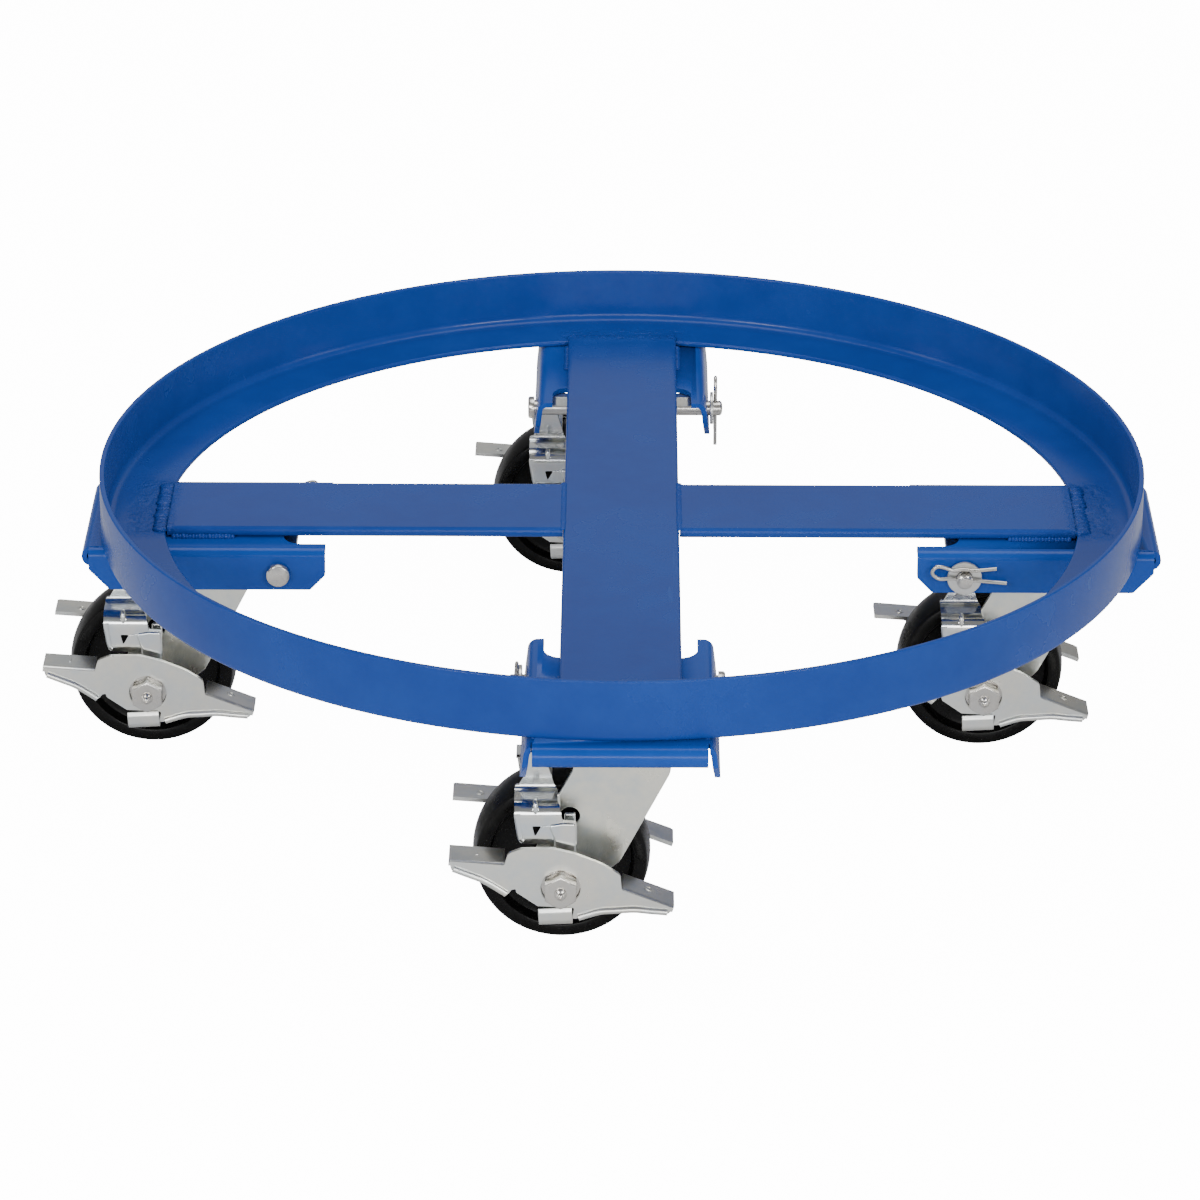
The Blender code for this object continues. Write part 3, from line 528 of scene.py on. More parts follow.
def rounded(corners, radius, steps=6, closed=True):
    """The outline through these corners, each one rounded. A radius may be a list."""
    count = len(corners)
    radii = radius if isinstance(radius, (list, tuple)) else [radius] * count
    points = []
    for i, corner in enumerate(corners):
        here = Vector(corner)
        if radii[i] <= 0 or not (closed or 0 < i < count - 1):
            points.append(tuple(here))
            continue
        before = (Vector(corners[i - 1]) - here).normalized()
        after = (Vector(corners[(i + 1) % count]) - here).normalized()
        half = before.angle(after) / 2
        centre = here + (before + after).normalized() * radii[i] / math.sin(half)
        first = here + before * radii[i] / math.tan(half) - centre
        last = here + after * radii[i] / math.tan(half) - centre
        sweep = first.angle_signed(last)
        for step in range(steps + 1):
            points.append(tuple(centre + Matrix.Rotation(-sweep * step / steps, 2) @ first))
    return points


# %% Sheet, turned work and wire


def flat(name, loops, thickness, plane="XY", offset=0.0):
    """A plate from an outline and its holes, with its middle at the offset."""
    data = bpy.data.curves.new(name, "CURVE")
    data.dimensions = "2D"
    data.fill_mode = "BOTH"
    data.extrude = thickness / 2 * MM
    for loop in loops:
        spline = data.splines.new("POLY")
        spline.points.add(len(loop) - 1)
        for point, (x, y) in zip(spline.points, loop):
            point.co = (x * MM, y * MM, 0, 1)
        spline.use_cyclic_u = True
    made = work(name, data)
    if plane == "XZ":
        made.rotation_euler.x = math.radians(90)
        made.location.y = offset * MM
    else:
        made.location.z = offset * MM
    return solid(made)


def bent(name, path, width, thickness, plane="XZ"):
    """Bent sheet: the path is its outer surface, with the metal on its right."""
    shape = bmesh.new()
    line = [shape.verts.new((x * MM, -width / 2 * MM, z * MM)) for x, z in path]
    edges = [shape.edges.new(pair) for pair in zip(line, line[1:])]
    swept = bmesh.ops.extrude_edge_only(shape, edges=edges)["geom"]
    moved = [item for item in swept if isinstance(item, bmesh.types.BMVert)]
    bmesh.ops.translate(shape, verts=moved, vec=(0, width * MM, 0))
    shape.normal_update()
    start, end = (Vector((x, 0, z)) for x, z in path[:2])
    first = min(shape.faces, key=lambda f: (f.calc_center_median() - (start + end) / 2 * MM).length)
    if first.normal.dot((end - start).cross(Vector((0, 1, 0)))) < 0:
        bmesh.ops.reverse_faces(shape, faces=shape.faces)
    made = work(name, mesh_from(name, shape))
    if plane == "YZ":
        made.rotation_euler.z = math.radians(90)
    wall = made.modifiers.new("wall", "SOLIDIFY")
    wall.thickness = thickness * MM
    wall.offset = -1.0
    wall.use_even_offset = True
    return solid(made)


def turned(name, profile, segments, axis="Z", ring=False):
    """A turned piece. Its profile of (radius, height) may be a closed loop, for a ring."""
    shape = bmesh.new()
    line = [shape.verts.new((r * MM, 0, z * MM)) for r, z in profile]
    for pair in zip(line, line[1:] + line[:1] if ring else line[1:]):
        shape.edges.new(pair)
    bmesh.ops.spin(
        shape, geom=shape.verts[:] + shape.edges[:], axis=(0, 0, 1), cent=(0, 0, 0),
        angle=math.tau, steps=segments, use_merge=True,
    )
    bmesh.ops.remove_doubles(shape, verts=shape.verts, dist=0.001 * MM)
    bmesh.ops.recalc_face_normals(shape, faces=shape.faces)
    if axis == "Y":
        bmesh.ops.rotate(shape, matrix=Matrix.Rotation(math.radians(90), 3, "X"), verts=shape.verts)
    return work(name, mesh_from(name, shape))


def rod(name, radius, low, high, axis="Z", centre=(0, 0), sides=40):
    """A round or six-sided bar along an axis, between two places on it."""
    shape = bmesh.new()
    bmesh.ops.create_cone(
        shape, cap_ends=True, segments=sides,
        radius1=radius * MM, radius2=radius * MM, depth=(high - low) * MM,
    )
    middle = (low + high) / 2
    place = (centre[0], centre[1], middle)
    if axis == "Y":
        bmesh.ops.rotate(shape, matrix=Matrix.Rotation(math.radians(90), 3, "X"), verts=shape.verts)
        place = (centre[0], middle, centre[1])
    bmesh.ops.translate(shape, vec=Vector(place) * MM, verts=shape.verts)
    return work(name, mesh_from(name, shape))


def block(name, low, high):
    """A box between two corners."""
    shape = bmesh.new()
    bmesh.ops.create_cube(shape, size=1.0)
    low, high = Vector(low) * MM, Vector(high) * MM
    bmesh.ops.scale(shape, vec=high - low, verts=shape.verts)
    bmesh.ops.translate(shape, vec=(high + low) / 2, verts=shape.verts)
    return work(name, mesh_from(name, shape))


def blob(name, centre, radii):
    """A stretched ball, for a dimple or a swelling in a pressing."""
    shape = bmesh.new()
    bmesh.ops.create_uvsphere(shape, u_segments=24, v_segments=14, radius=MM)
    bmesh.ops.scale(shape, vec=Vector(radii), verts=shape.verts)
    bmesh.ops.translate(shape, vec=Vector(centre) * MM, verts=shape.verts)
    return work(name, mesh_from(name, shape))


def wire(name, points, radius, sides=3):
    """Round wire along a smooth line through the points, with closed ends."""
    data = bpy.data.curves.new(name, "CURVE")
    data.dimensions = "3D"
    data.bevel_depth = radius * MM
    data.bevel_resolution = sides
    data.use_fill_caps = True
    spline = data.splines.new("POLY")
    spline.points.add(len(points) - 1)
    for point, place in zip(spline.points, points):
        point.co = (*(Vector(place) * MM), 1)
    return work(name, data)


def smooth_line(points, steps):
    """A Catmull-Rom line through the points."""
    ends = [points[0]] + points + [points[-1]]
    line = []
    for a, b, c, d in zip(ends, ends[1:], ends[2:], ends[3:]):
        a, b, c, d = (Vector(p) for p in (a, b, c, d))
        for step in range(steps):
            t = step / steps
            line.append(
                0.5 * (2 * b + (c - a) * t + (2 * a - 5 * b + 4 * c - d) * t**2
                       + (3 * b - a - 3 * c + d) * t**3)
            )
    return line + [Vector(points[-1])]


print("workshop ready")

# %% [markdown]
# ## Geometry Nodes for what follows a path
# Three things here follow a rule: the hoop is one profile carried round a circle, a weld bead is one
# scale laid again and again along a seam, and the balls of a race stand evenly on a ring. Each gets a
# small tree with named inputs. The result is made a plain mesh, and the modifier goes with its carrier.

# %% Tree helpers


def geometry_tree(name, **inputs):
    """A tree with a carrier and these inputs, each given as its name and its kind of socket."""
    tree = bpy.data.node_groups.new(name, "GeometryNodeTree")
    for label, kind in {"Geometry": "Geometry", **inputs}.items():
        tree.interface.new_socket(name=label, in_out="INPUT", socket_type="NodeSocket" + kind)
    tree.interface.new_socket(name="Geometry", in_out="OUTPUT", socket_type="NodeSocketGeometry")
    return tree, tree.nodes.new("NodeGroupInput").outputs, tree.nodes.new("NodeGroupOutput").inputs[0]


def finish_tree(tree, geometry, finish, result):
    """Every tree ends by making its instances real and giving them their finish."""
    real = out_of(tree, "GeometryNodeRealizeInstances", {"Geometry": geometry})
    shaded = out_of(tree, "GeometryNodeSetShadeSmooth", {"Geometry": real})
    done = out_of(tree, "GeometryNodeSetMaterial", {"Geometry": shaded, "Material": finish})
    tree.links.new(done, result)


def run_tree(tree, carrier, values):
    """The tree's result on a carrier mesh, as a plain mesh."""
    made = work(tree.name, carrier)
    step = made.modifiers.new(tree.name, "NODES")
    step.node_group = tree
    for item in tree.interface.items_tree:
        if item.in_out == "INPUT" and item.name in values:
            step[item.identifier] = values[item.name]
    return taken(made, 0.0)


def line_mesh(name, points, closed=False):
    shape = bmesh.new()
    line = [shape.verts.new(Vector(p) * MM) for p in points]
    for pair in zip(line, line[1:] + line[:1] if closed else line[1:]):
        shape.edges.new(pair)
    return mesh_from(name, shape)


# %% The hoop's tree
SPRING_FROM = 0.955  # the share of the hoop after which its end springs up


def hoop_tree():
    tree, given, result = geometry_tree(
        "rolled_hoop", Radius="Float", Start="Float", Sweep="Float", Steps="Int", Lift="Float",
        Finish="Material",
    )
    profile = out_of(tree, "GeometryNodeMeshToCurve", {"Mesh": given["Geometry"]})
    sockets = {
        "Resolution": given["Steps"], "Radius": given["Radius"],
        "Start Angle": given["Start"], "Sweep Angle": given["Sweep"],
    }
    circle = out_of(tree, "GeometryNodeCurveArc", sockets, mode="RADIUS")
    share = node(tree, "GeometryNodeSplineParameter").outputs["Factor"]
    rise = maths(tree, "MULTIPLY", ramp(tree, share, SPRING_FROM, 1.0), given["Lift"])
    offset = out_of(tree, "ShaderNodeCombineXYZ", {"Z": rise})
    sprung = out_of(tree, "GeometryNodeSetPosition", {"Geometry": circle, "Offset": offset})
    level = out_of(tree, "GeometryNodeSetCurveNormal", {"Curve": sprung}, mode="Z_UP")
    sockets = {"Curve": level, "Profile Curve": profile, "Fill Caps": True}
    finish_tree(tree, out_of(tree, "GeometryNodeCurveToMesh", sockets), given["Finish"], result)
    return tree


# %% The weld bead's tree
# Shares of the spacing: a scale's length, the spread of its size, and how far it strays sideways.
SCALE_LENGTH, SCALE_SPREAD, SCALE_STRAY = 0.85, 0.14, 0.22


def random_value(tree, low, high, seed):
    return node(tree, "FunctionNodeRandomValue", {2: low, 3: high, "Seed": seed}).outputs[1]


def bead_tree():
    tree, given, result = geometry_tree(
        "weld_bead", Spacing="Float", Width="Float", Height="Float", Seed="Int", Finish="Material"
    )
    seam = out_of(tree, "GeometryNodeMeshToCurve", {"Mesh": given["Geometry"]})
    sockets = {"Curve": seam, "Length": given["Spacing"]}
    spaced = out_of(tree, "GeometryNodeResampleCurve", sockets, mode="LENGTH")
    tangent = out_of(tree, "GeometryNodeInputTangent")
    facing = out_of(tree, "FunctionNodeAlignEulerToVector", {"Vector": tangent}, axis="Y")
    scale = out_of(tree, "GeometryNodeMeshUVSphere", {"Segments": 10, "Rings": 6, "Radius": 1.0})
    long = maths(tree, "MULTIPLY", given["Spacing"], SCALE_LENGTH)
    size = out_of(tree, "ShaderNodeCombineXYZ", {"X": given["Width"], "Y": long, "Z": given["Height"]})
    uneven = random_value(tree, 1 - SCALE_SPREAD, 1 + SCALE_SPREAD, given["Seed"])
    varied = out_of(tree, "ShaderNodeVectorMath", {0: size, "Scale": uneven}, operation="SCALE")
    sockets = {"Points": spaced, "Instance": scale, "Rotation": facing, "Scale": varied}
    laid = out_of(tree, "GeometryNodeInstanceOnPoints", sockets)
    wander = random_value(tree, -SCALE_STRAY, SCALE_STRAY, given["Seed"])
    strayed = maths(tree, "MULTIPLY", wander, given["Spacing"])
    offset = out_of(tree, "ShaderNodeCombineXYZ", {"X": strayed})
    sockets = {"Instances": laid, "Translation": offset, "Local Space": True}
    finish_tree(tree, out_of(tree, "GeometryNodeTranslateInstances", sockets), given["Finish"], result)
    return tree


# %% The ball ring's tree


def balls_tree():
    tree, given, result = geometry_tree(
        "race_balls", Count="Int", Circle="Float", Ball="Float", Finish="Material"
    )
    sockets = {"Vertices": given["Count"], "Radius": given["Circle"]}
    circle = out_of(tree, "GeometryNodeMeshCircle", sockets)
    sockets = {"Segments": 14, "Rings": 9, "Radius": given["Ball"]}
    ball = out_of(tree, "GeometryNodeMeshUVSphere", sockets)
    placed = out_of(tree, "GeometryNodeInstanceOnPoints", {"Points": circle, "Instance": ball})
    finish_tree(tree, placed, given["Finish"], result)
    return tree


HOOP_TREE, BEAD_TREE, BALLS_TREE = hoop_tree(), bead_tree(), balls_tree()
print("trees:", HOOP_TREE.name, BEAD_TREE.name, BALLS_TREE.name)

# %% [markdown]
# ## The hoop
# Angle bar is rolled with one leg up and one leg pointing in. Hot rolling leaves a round fillet in the
# root and a soft round on each toe. The two ends meet at a butt weld, and rolling leaves them a little
# out of line, so the last stretch of the hoop rises by a millimetre before the seam.

# %% Roll the hoop
WALL = 3.2
LEG_IN = RING_R - (RING_HIGH.z - RING_LOW.z)
HOOP_STEPS = 240
SEAM_AT = math.radians(0.6)
SEAM_GAP = math.radians(0.05)
SEAM_RISE = 1.1


def hoop():
    bottom, top = RING_LOW.z, RING_HIGH.z - SEAM_RISE
    corners = [
        (RING_R - WALL, top), (RING_R, top), (RING_R, bottom), (LEG_IN, bottom),
        (LEG_IN, bottom + WALL), (RING_R - WALL, bottom + WALL),
    ]
    outline = rounded(corners, [1.0, 0.8, 3.0, 0.8, 1.4, 5.0], 5)
    profile = line_mesh("angle_profile", [(r - RING_R, -z, 0) for r, z in outline], closed=True)
    values = {
        "Radius": RING_R * MM, "Start": SEAM_AT, "Sweep": math.tau - SEAM_GAP, "Steps": HOOP_STEPS,
        "Lift": SEAM_RISE * MM, "Finish": FRAME_ENAMEL,
    }
    mesh = run_tree(HOOP_TREE, profile, values)
    shape = bmesh.new()
    shape.from_mesh(mesh)
    bmesh.ops.recalc_face_normals(shape, faces=shape.faces)
    shape.to_mesh(mesh)
    shape.free()
    made = piece("ring_hoop", smooth(mesh, 40), Matrix(), FRAME_ENAMEL, "frame", "ring")
    low = [min(v.co[i] for v in made.data.vertices) / MM for i in range(3)]
    high = [max(v.co[i] for v in made.data.vertices) / MM for i in range(3)]
    print("hoop box:", [round(v, 1) for v in low + high])


hoop()

# %% [markdown]
# ## The bar cross and its welds
# The bars' shape in the frame is already right: flat bar with rounded long edges. They keep their CAD
# meshes and get the paint. What the frame lacks is the welding. A hand-laid bead is a row of
# overlapping scales, one for each pause of the torch, so the bead tree lays scales along each seam.

# %% Paint the bars and lay the beads
for bar in ("long_bar", "left_bar", "right_bar"):
    mesh = frame["nodes"][bar].data
    mesh.materials.clear()
    mesh.materials.append(FRAME_ENAMEL)


# Places along a bar of the beads beside it and of those between bracket and ring.
EDGE_SEAM, WEB_SEAM = (231.0, 266.0), (278.0, 304.0)
# Width, height and spacing of each kind of bead.
END_BEAD, JOINT_BEAD = (5.2, 1.9, 4.6), (1.9, 0.75, 1.9)
EDGE_BEAD, WEB_BEAD = (2.1, 1.9, 1.9), (1.8, 1.4, 1.9)


def bead(seam, width, height, spacing, seed):
    values = {
        "Spacing": spacing * MM, "Width": width * MM, "Height": height * MM,
        "Seed": seed, "Finish": FRAME_ENAMEL,
    }
    return run_tree(BEAD_TREE, line_mesh("seam", seam), values)


def cross_welds():
    half, top, under = BAR_HIGH.y, WEB_HIGH.z + 0.5, RING_LOW.z - 0.7
    end, leg_top, joint = LEG_IN + 1.2, RING_LOW.z + WALL + 0.2, BAR_HIGH.y + GAP / 2
    made = []
    for number, degrees in enumerate(STATIONS.values()):
        turn = about_z(degrees)
        seams = [([(end, -half + 3, leg_top), (end, half - 3, leg_top)], *END_BEAD)]
        if degrees in (0.0, 180.0):
            seams.append(([(joint, -half + 1, -0.35), (joint, half - 1, -0.35)], *JOINT_BEAD))
        for side in (-1, 1):
            edge, web = side * (half + 0.6), side * (WEB_HIGH.y * 0.86)
            seams.append(([(x, edge, top) for x in EDGE_SEAM], *EDGE_BEAD))
            seams.append(([(x, web, under) for x in WEB_SEAM], *WEB_BEAD))
        for index, (seam, width, height, spacing) in enumerate(seams):
            mesh = bead(seam, width, height, spacing, 10 * number + index)
            mesh.transform(turn)
            made.append(mesh)
    return joined(made)


welds = piece("weld_beads", smooth(cross_welds(), 60), Matrix(), FRAME_ENAMEL, "frame")
print("weld beads:", len(welds.data.polygons), "faces")

# %% [markdown]
# ## The hooked bracket
# Each bracket is one sheet: a channel with flanges that splay a little, a wide notch between two horns
# at the inner end, and a curl at the outer end that the caster plate's edge slides into. Bending sheet
# gives a real inside and outside radius, which catches the light as a thin line along every bend.

# %% Fold the bracket
SHEET = 3.2
BEND_R = 6.0
FLANGE_OUTER_R = WEB_HIGH.x - 4.5
INNER_CHAMFER, OUTER_CHAMFER = 9.0, 12.0
NOTCH_DEPTH, NOTCH_HALF, NOTCH_R = 25.4, 43.7, 11.0
HOOK_LENGTH, HOOK_LIP = 97.0, 20.0
PIN_R = 4.76


def bracket_mesh():
    top, foot_z, foot = WEB_HIGH.z, WEB_LOW.z, WEB_HIGH.y
    splay = math.tan(math.radians(7.0))
    half = foot - (top - foot_z) * splay
    inner, outer = WEB_LOW.x, FLANGE_OUTER_R
    section = [(-foot, foot_z), (-half, top), (half, top), (foot, foot_z)]
    channel = bent("channel", rounded(section, BEND_R, 8, closed=False), outer - inner, SHEET, "YZ")
    channel.data.transform(Matrix.Translation(((outer + inner) / 2 * MM, 0, 0)))
    side = rounded(
        [
            (inner, top + 5), (outer, top + 5),
            (outer, foot_z + OUTER_CHAMFER), (outer - OUTER_CHAMFER, foot_z),
            (inner + INNER_CHAMFER, foot_z), (inner, foot_z + INNER_CHAMFER),
        ],
        [0, 0, 2, 2, 2, 2],
    )
    boolean(channel, flat("side", [side], 3 * foot, "XZ"), "INTERSECT")
    notch = rounded(
        [
            (inner - 20, -NOTCH_HALF), (inner + NOTCH_DEPTH, -NOTCH_HALF),
            (inner + NOTCH_DEPTH, NOTCH_HALF), (inner - 20, NOTCH_HALF),
        ],
        [0, NOTCH_R, NOTCH_R, 0], 10,
    )
    cut(channel, flat("notch", [notch], 3 * SHEET, "XY", top))
    hook_height = top - (PLATE_LOW.z - GAP - SHEET)
    hook_r = hook_height / 2
    centre = (WEB_HIGH.x - hook_r, top - hook_r)
    joint_r = centre[0] - 8
    path = [(joint_r, top)] + arc(centre, hook_r, 90, -90, 18)
    path.append((WEB_HIGH.x - HOOK_LIP, top - hook_height))
    relief_half = HOOK_LENGTH / 2 + 0.8
    low, high = (joint_r + 4, -relief_half, top - SHEET - 1), (outer + 5, relief_half, top + 1)
    cut(channel, block("relief", low, high))
    boolean(channel, bent("hook", path, HOOK_LENGTH, SHEET), "UNION")
    hole = rod("hole", PIN_R + GAP, -2 * foot, 2 * foot, "Y", (PIN_STATION_R, PIN_Z), 36)
    cut(channel, hole)
    return softened(channel, 0.45)


def fit(station, name, mesh, place, finish, body=None):
    """A finished mesh in its station. It rides on the station's own body, or on the frame."""
    node_name = f"{station}_{name}"
    rides_on = f"{station}_{body}" if body else "frame"
    piece(f"{node_name}_finished", mesh, place, finish, rides_on, node_name)


def at_stations(name, mesh, finish, radius=0.0):
    for station, degrees in STATIONS.items():
        place = about_z(degrees) @ Matrix.Translation((radius * MM, 0, 0))
        fit(station, name, mesh, place, finish)
    print(f"{name}: {len(mesh.polygons)} faces")


at_stations("bracket", bracket_mesh(), BRACKET_ENAMEL)

# %% [markdown]
# ## Caster plate, kingpin and ball race
# These sit under the bracket and show from low down. The plate is cropped sheet with four slots. The
# kingpin clamps two pressed raceways together with a ring of balls between them, so the race is shown
# as a pair of cups and its balls rather than as a solid ring.

# %% Plate, kingpin and race
SLOT_SPACING, SLOT_LENGTH, SLOT_WIDTH = (84.0, 66.0), 17.0, 10.5
KINGPIN_R, KINGPIN_HEAD_R, KINGPIN_HEAD = 6.35, 10.7, 2.6
NUT_FLATS, NUT_HEIGHT = 19.0, 7.5
RACE_R, RACE_BORE_R = 27.0, 8.0
BALLS, BALL_R, BALL_INSET = 20, 3.0, 3.4


def plate_mesh():
    x, y = (PLATE_HIGH.x - PLATE_LOW.x) / 2, PLATE_HIGH.y
    loops = [rounded([(-x, -y), (x, -y), (x, y), (-x, y)], 6.0)]
    reach = (SLOT_LENGTH - SLOT_WIDTH) / 2
    for sx in (-0.5, 0.5):
        for sy in (-0.5, 0.5):
            at = (sx * SLOT_SPACING[0], sy * SLOT_SPACING[1])
            loops.append(
                arc((at[0] + reach, at[1]), SLOT_WIDTH / 2, -90, 90, 12)
                + arc((at[0] - reach, at[1]), SLOT_WIDTH / 2, 90, 270, 12)
            )
    thick = PLATE_HIGH.z - PLATE_LOW.z
    plate = flat("plate", loops, thick, "XY", PLATE_LOW.z + thick / 2)
    seat = KINGPIN_HEAD_R + GAP
    step = PLATE_HIGH.z - KINGPIN_HEAD - 2 * GAP
    profile = [(0, PLATE_HIGH.z + 1), (seat, PLATE_HIGH.z + 1), (seat, step), (KINGPIN_R + GAP, step)]
    profile += [(KINGPIN_R + GAP, PLATE_LOW.z - 1), (0, PLATE_LOW.z - 1)]
    return softened(cut(plate, turned("seat", profile, 36)), 0.4)


def hex_nut(name, flats, low, high, axis="Z"):
    """A hexagon with its corners chamfered by a turned cone on both faces."""
    corner = flats / 2 / math.cos(math.radians(30))
    drop = (corner - flats / 2) * math.tan(math.radians(30)) + 0.2
    flat_r = flats / 2 * 0.93
    nut = rod(name, corner, low, high, axis, sides=6)
    profile = [(0, high), (flat_r, high), (corner + 0.2, high - drop)]
    profile += [(corner + 0.2, low + drop), (flat_r, low), (0, low)]
    if axis == "Y":
        profile = [(r, -z) for r, z in profile]
    return boolean(nut, turned(name + "_cone", profile, 48, axis), "INTERSECT")


def kingpin_mesh():
    top = PLATE_HIGH.z - GAP
    nut_top = FORK_HIGH.z - SHEET - GAP
    end = nut_top - NUT_HEIGHT
    profile = [
        (0, top), (KINGPIN_HEAD_R - 0.6, top), (KINGPIN_HEAD_R, top - 0.6),
        (KINGPIN_HEAD_R, top - KINGPIN_HEAD), (KINGPIN_R, top - KINGPIN_HEAD),
        (KINGPIN_R, end - 0.7), (KINGPIN_R - 0.8, end - 1.5), (0, end - 1.5),
    ]
    pin = smooth(turned("kingpin", profile, 40))
    return joined([pin, softened(hex_nut("kingpin_nut", NUT_FLATS, end, nut_top), 0.15)])


def race_mesh():
    top, bottom = PLATE_LOW.z - GAP, FORK_HIGH.z + GAP
    middle = (top + bottom) / 2
    cup = 1.8
    upper = [
        (RACE_BORE_R, top), (RACE_R - 1, top), (RACE_R, top - 1), (RACE_R, middle + 2.4),
        (RACE_R - cup, middle + 2.4), (RACE_R - cup - 2.6, middle + 3.1), (RACE_BORE_R, middle + 0.5),
    ]
    lower = [
        (RACE_BORE_R, middle - 0.5), (RACE_R - cup - 2.6, middle - 3.1), (RACE_R - cup, middle - 2.4),
        (RACE_R, middle - 2.4), (RACE_R, bottom + 1), (RACE_R - 1, bottom), (RACE_BORE_R, bottom),
    ]
    cups = [smooth(turned("cup", profile, 56, ring=True)) for profile in (upper, lower)]
    values = {"Count": BALLS, "Circle": (RACE_R - BALL_INSET) * MM, "Ball": BALL_R * MM}
    values["Finish"] = METAL["race_steel"]
    balls = run_tree(BALLS_TREE, bpy.data.meshes.new("race_carrier"), values)
    balls.transform(Matrix.Translation((0, 0, middle * MM)))
    return joined(cups + [balls])


at_stations("caster_plate", plate_mesh(), METAL["zinc_plate"], SWIVEL_R)
at_stations("kingpin", kingpin_mesh(), METAL["bright_steel"], SWIVEL_R)
at_stations("swivel_race", race_mesh(), METAL["race_steel"], SWIVEL_R)

# %% [markdown]
# ## Clevis pin, washer and hairpin
# The pin is turned with a domed tail and a flat head. A washer keeps the hairpin off the bracket, and
# the hairpin is one length of spring wire: its straight leg runs through the pin, its other leg bows
# round it, and the loop between them is what a thumb pulls.

# %% Pin, washer and hairpin
HEAD_R, HEAD_THICK, PIN_TAIL = 7.0, 4.0, 4.6
WASHER_R, WASHER_THICK = 10.3, 2.0
WIRE_R = 1.15
PIN_HEAD_AT = box_mm("right_clevis_pin")[1].y - HEAD_THICK
CLIP_Y = box_mm("right_clevis_pin")[0].y + PIN_TAIL
WASHER_FACE = box_mm("right_pin_washer")[1].y


def pin_mesh():
    tail = CLIP_Y - PIN_TAIL
    end = PIN_HEAD_AT + HEAD_THICK
    profile = [(0, tail), (PIN_R * 0.5, tail + 0.15), (PIN_R * 0.8, tail + 0.55), (PIN_R, tail + 1.5)]
    profile += [(PIN_R, PIN_HEAD_AT), (HEAD_R, PIN_HEAD_AT), (HEAD_R, end - 1.1)]
    profile += [(HEAD_R - 0.4, end - 0.4), (HEAD_R - 1.2, end), (0, end)]
    pin = turned("pin", [(r, -y) for r, y in profile], 40, "Y")
    hole = rod("hole", WIRE_R + GAP, -2 * PIN_R, 2 * PIN_R, sides=20)
    turn = Matrix.Rotation(math.radians(90), 4, "Y")
    hole.data.transform(Matrix.Translation((0, CLIP_Y * MM, 0)) @ turn)
    return smooth(cut(pin, hole), 38)


def washer_mesh():
    bore, face, back, soft = PIN_R + GAP, WASHER_FACE, WASHER_FACE - WASHER_THICK, 0.35
    profile = [(bore, -back), (WASHER_R - soft, -back), (WASHER_R, -back - soft)]
    profile += [(WASHER_R, -face + soft), (WASHER_R - soft, -face), (bore, -face)]
    return smooth(turned("washer", profile, 56, "Y", ring=True))


def hairpin_mesh():
    bow = PIN_R + WIRE_R + GAP
    line = [
        (-9.0, 0.0), (-15.0, -0.8), (-19.5, 2.4), (-17.5, 6.6), (-12.5, 6.6), (-7.0, 5.2),
        (-3.5, bow - 0.1), (0.0, bow + 0.2), (6.0, bow + 0.3), (18.0, bow + 2.5),
    ]
    points = [Vector((25.0, 0.0))] + smooth_line(line, 7)
    return smooth(wire("hairpin", [(x, CLIP_Y, z) for x, z in points], WIRE_R), 60)


def clip_angle(station):
    """Degrees below outwards that the hairpin's legs point, read from its joint's axis."""
    axis = Vector(JOINTS[f"{station}_clip_pull"]["axis"])
    turn = math.radians(STATIONS[station])
    out = Vector((math.cos(turn), math.sin(turn), 0))
    return math.atan2(axis.z, -axis.dot(out))


def pinned():
    pin, washer, hairpin = pin_mesh(), washer_mesh(), hairpin_mesh()
    for station, degrees in STATIONS.items():
        home = about_z(degrees)
        place = home @ Matrix.Translation(Vector((PIN_STATION_R, 0, PIN_Z)) * MM)
        place = place @ Matrix.Rotation(clip_angle(station), 4, "Y")
        fit(station, "clevis_pin", pin, place, METAL["bright_steel"], "pin")
        fit(station, "pin_washer", washer, place, METAL["washer_zinc"], "pin")
        fit(station, "hairpin", hairpin, place, METAL["spring_wire"], "clip")
        print(station, "hairpin legs point", round(math.degrees(clip_angle(station)), 1), "degrees down")


pinned()

# %% [markdown]
# ## The caster fork
# One folded sheet: a flat crown under the race and two legs that sweep back to the axle, so that the
# wheel trails. It starts as a wide U of bent sheet and its side outline is then punched out, which
# leaves both legs alike. The round hole in each leg takes the brake shoe's tab.

# %% Punch and fold the fork
FORK_HALF = FORK_HIGH.y
FORK_BEND_R = 9.0
FORK_BLANK, SHOE_BLANK = 160.0, 150.0  # widths of sheet before the side outline is punched
TAB_HOLE_R = 5.6
TAB_HOLE_AT = (-28.0, 33.5)  # from the swivel axis, and above the axle


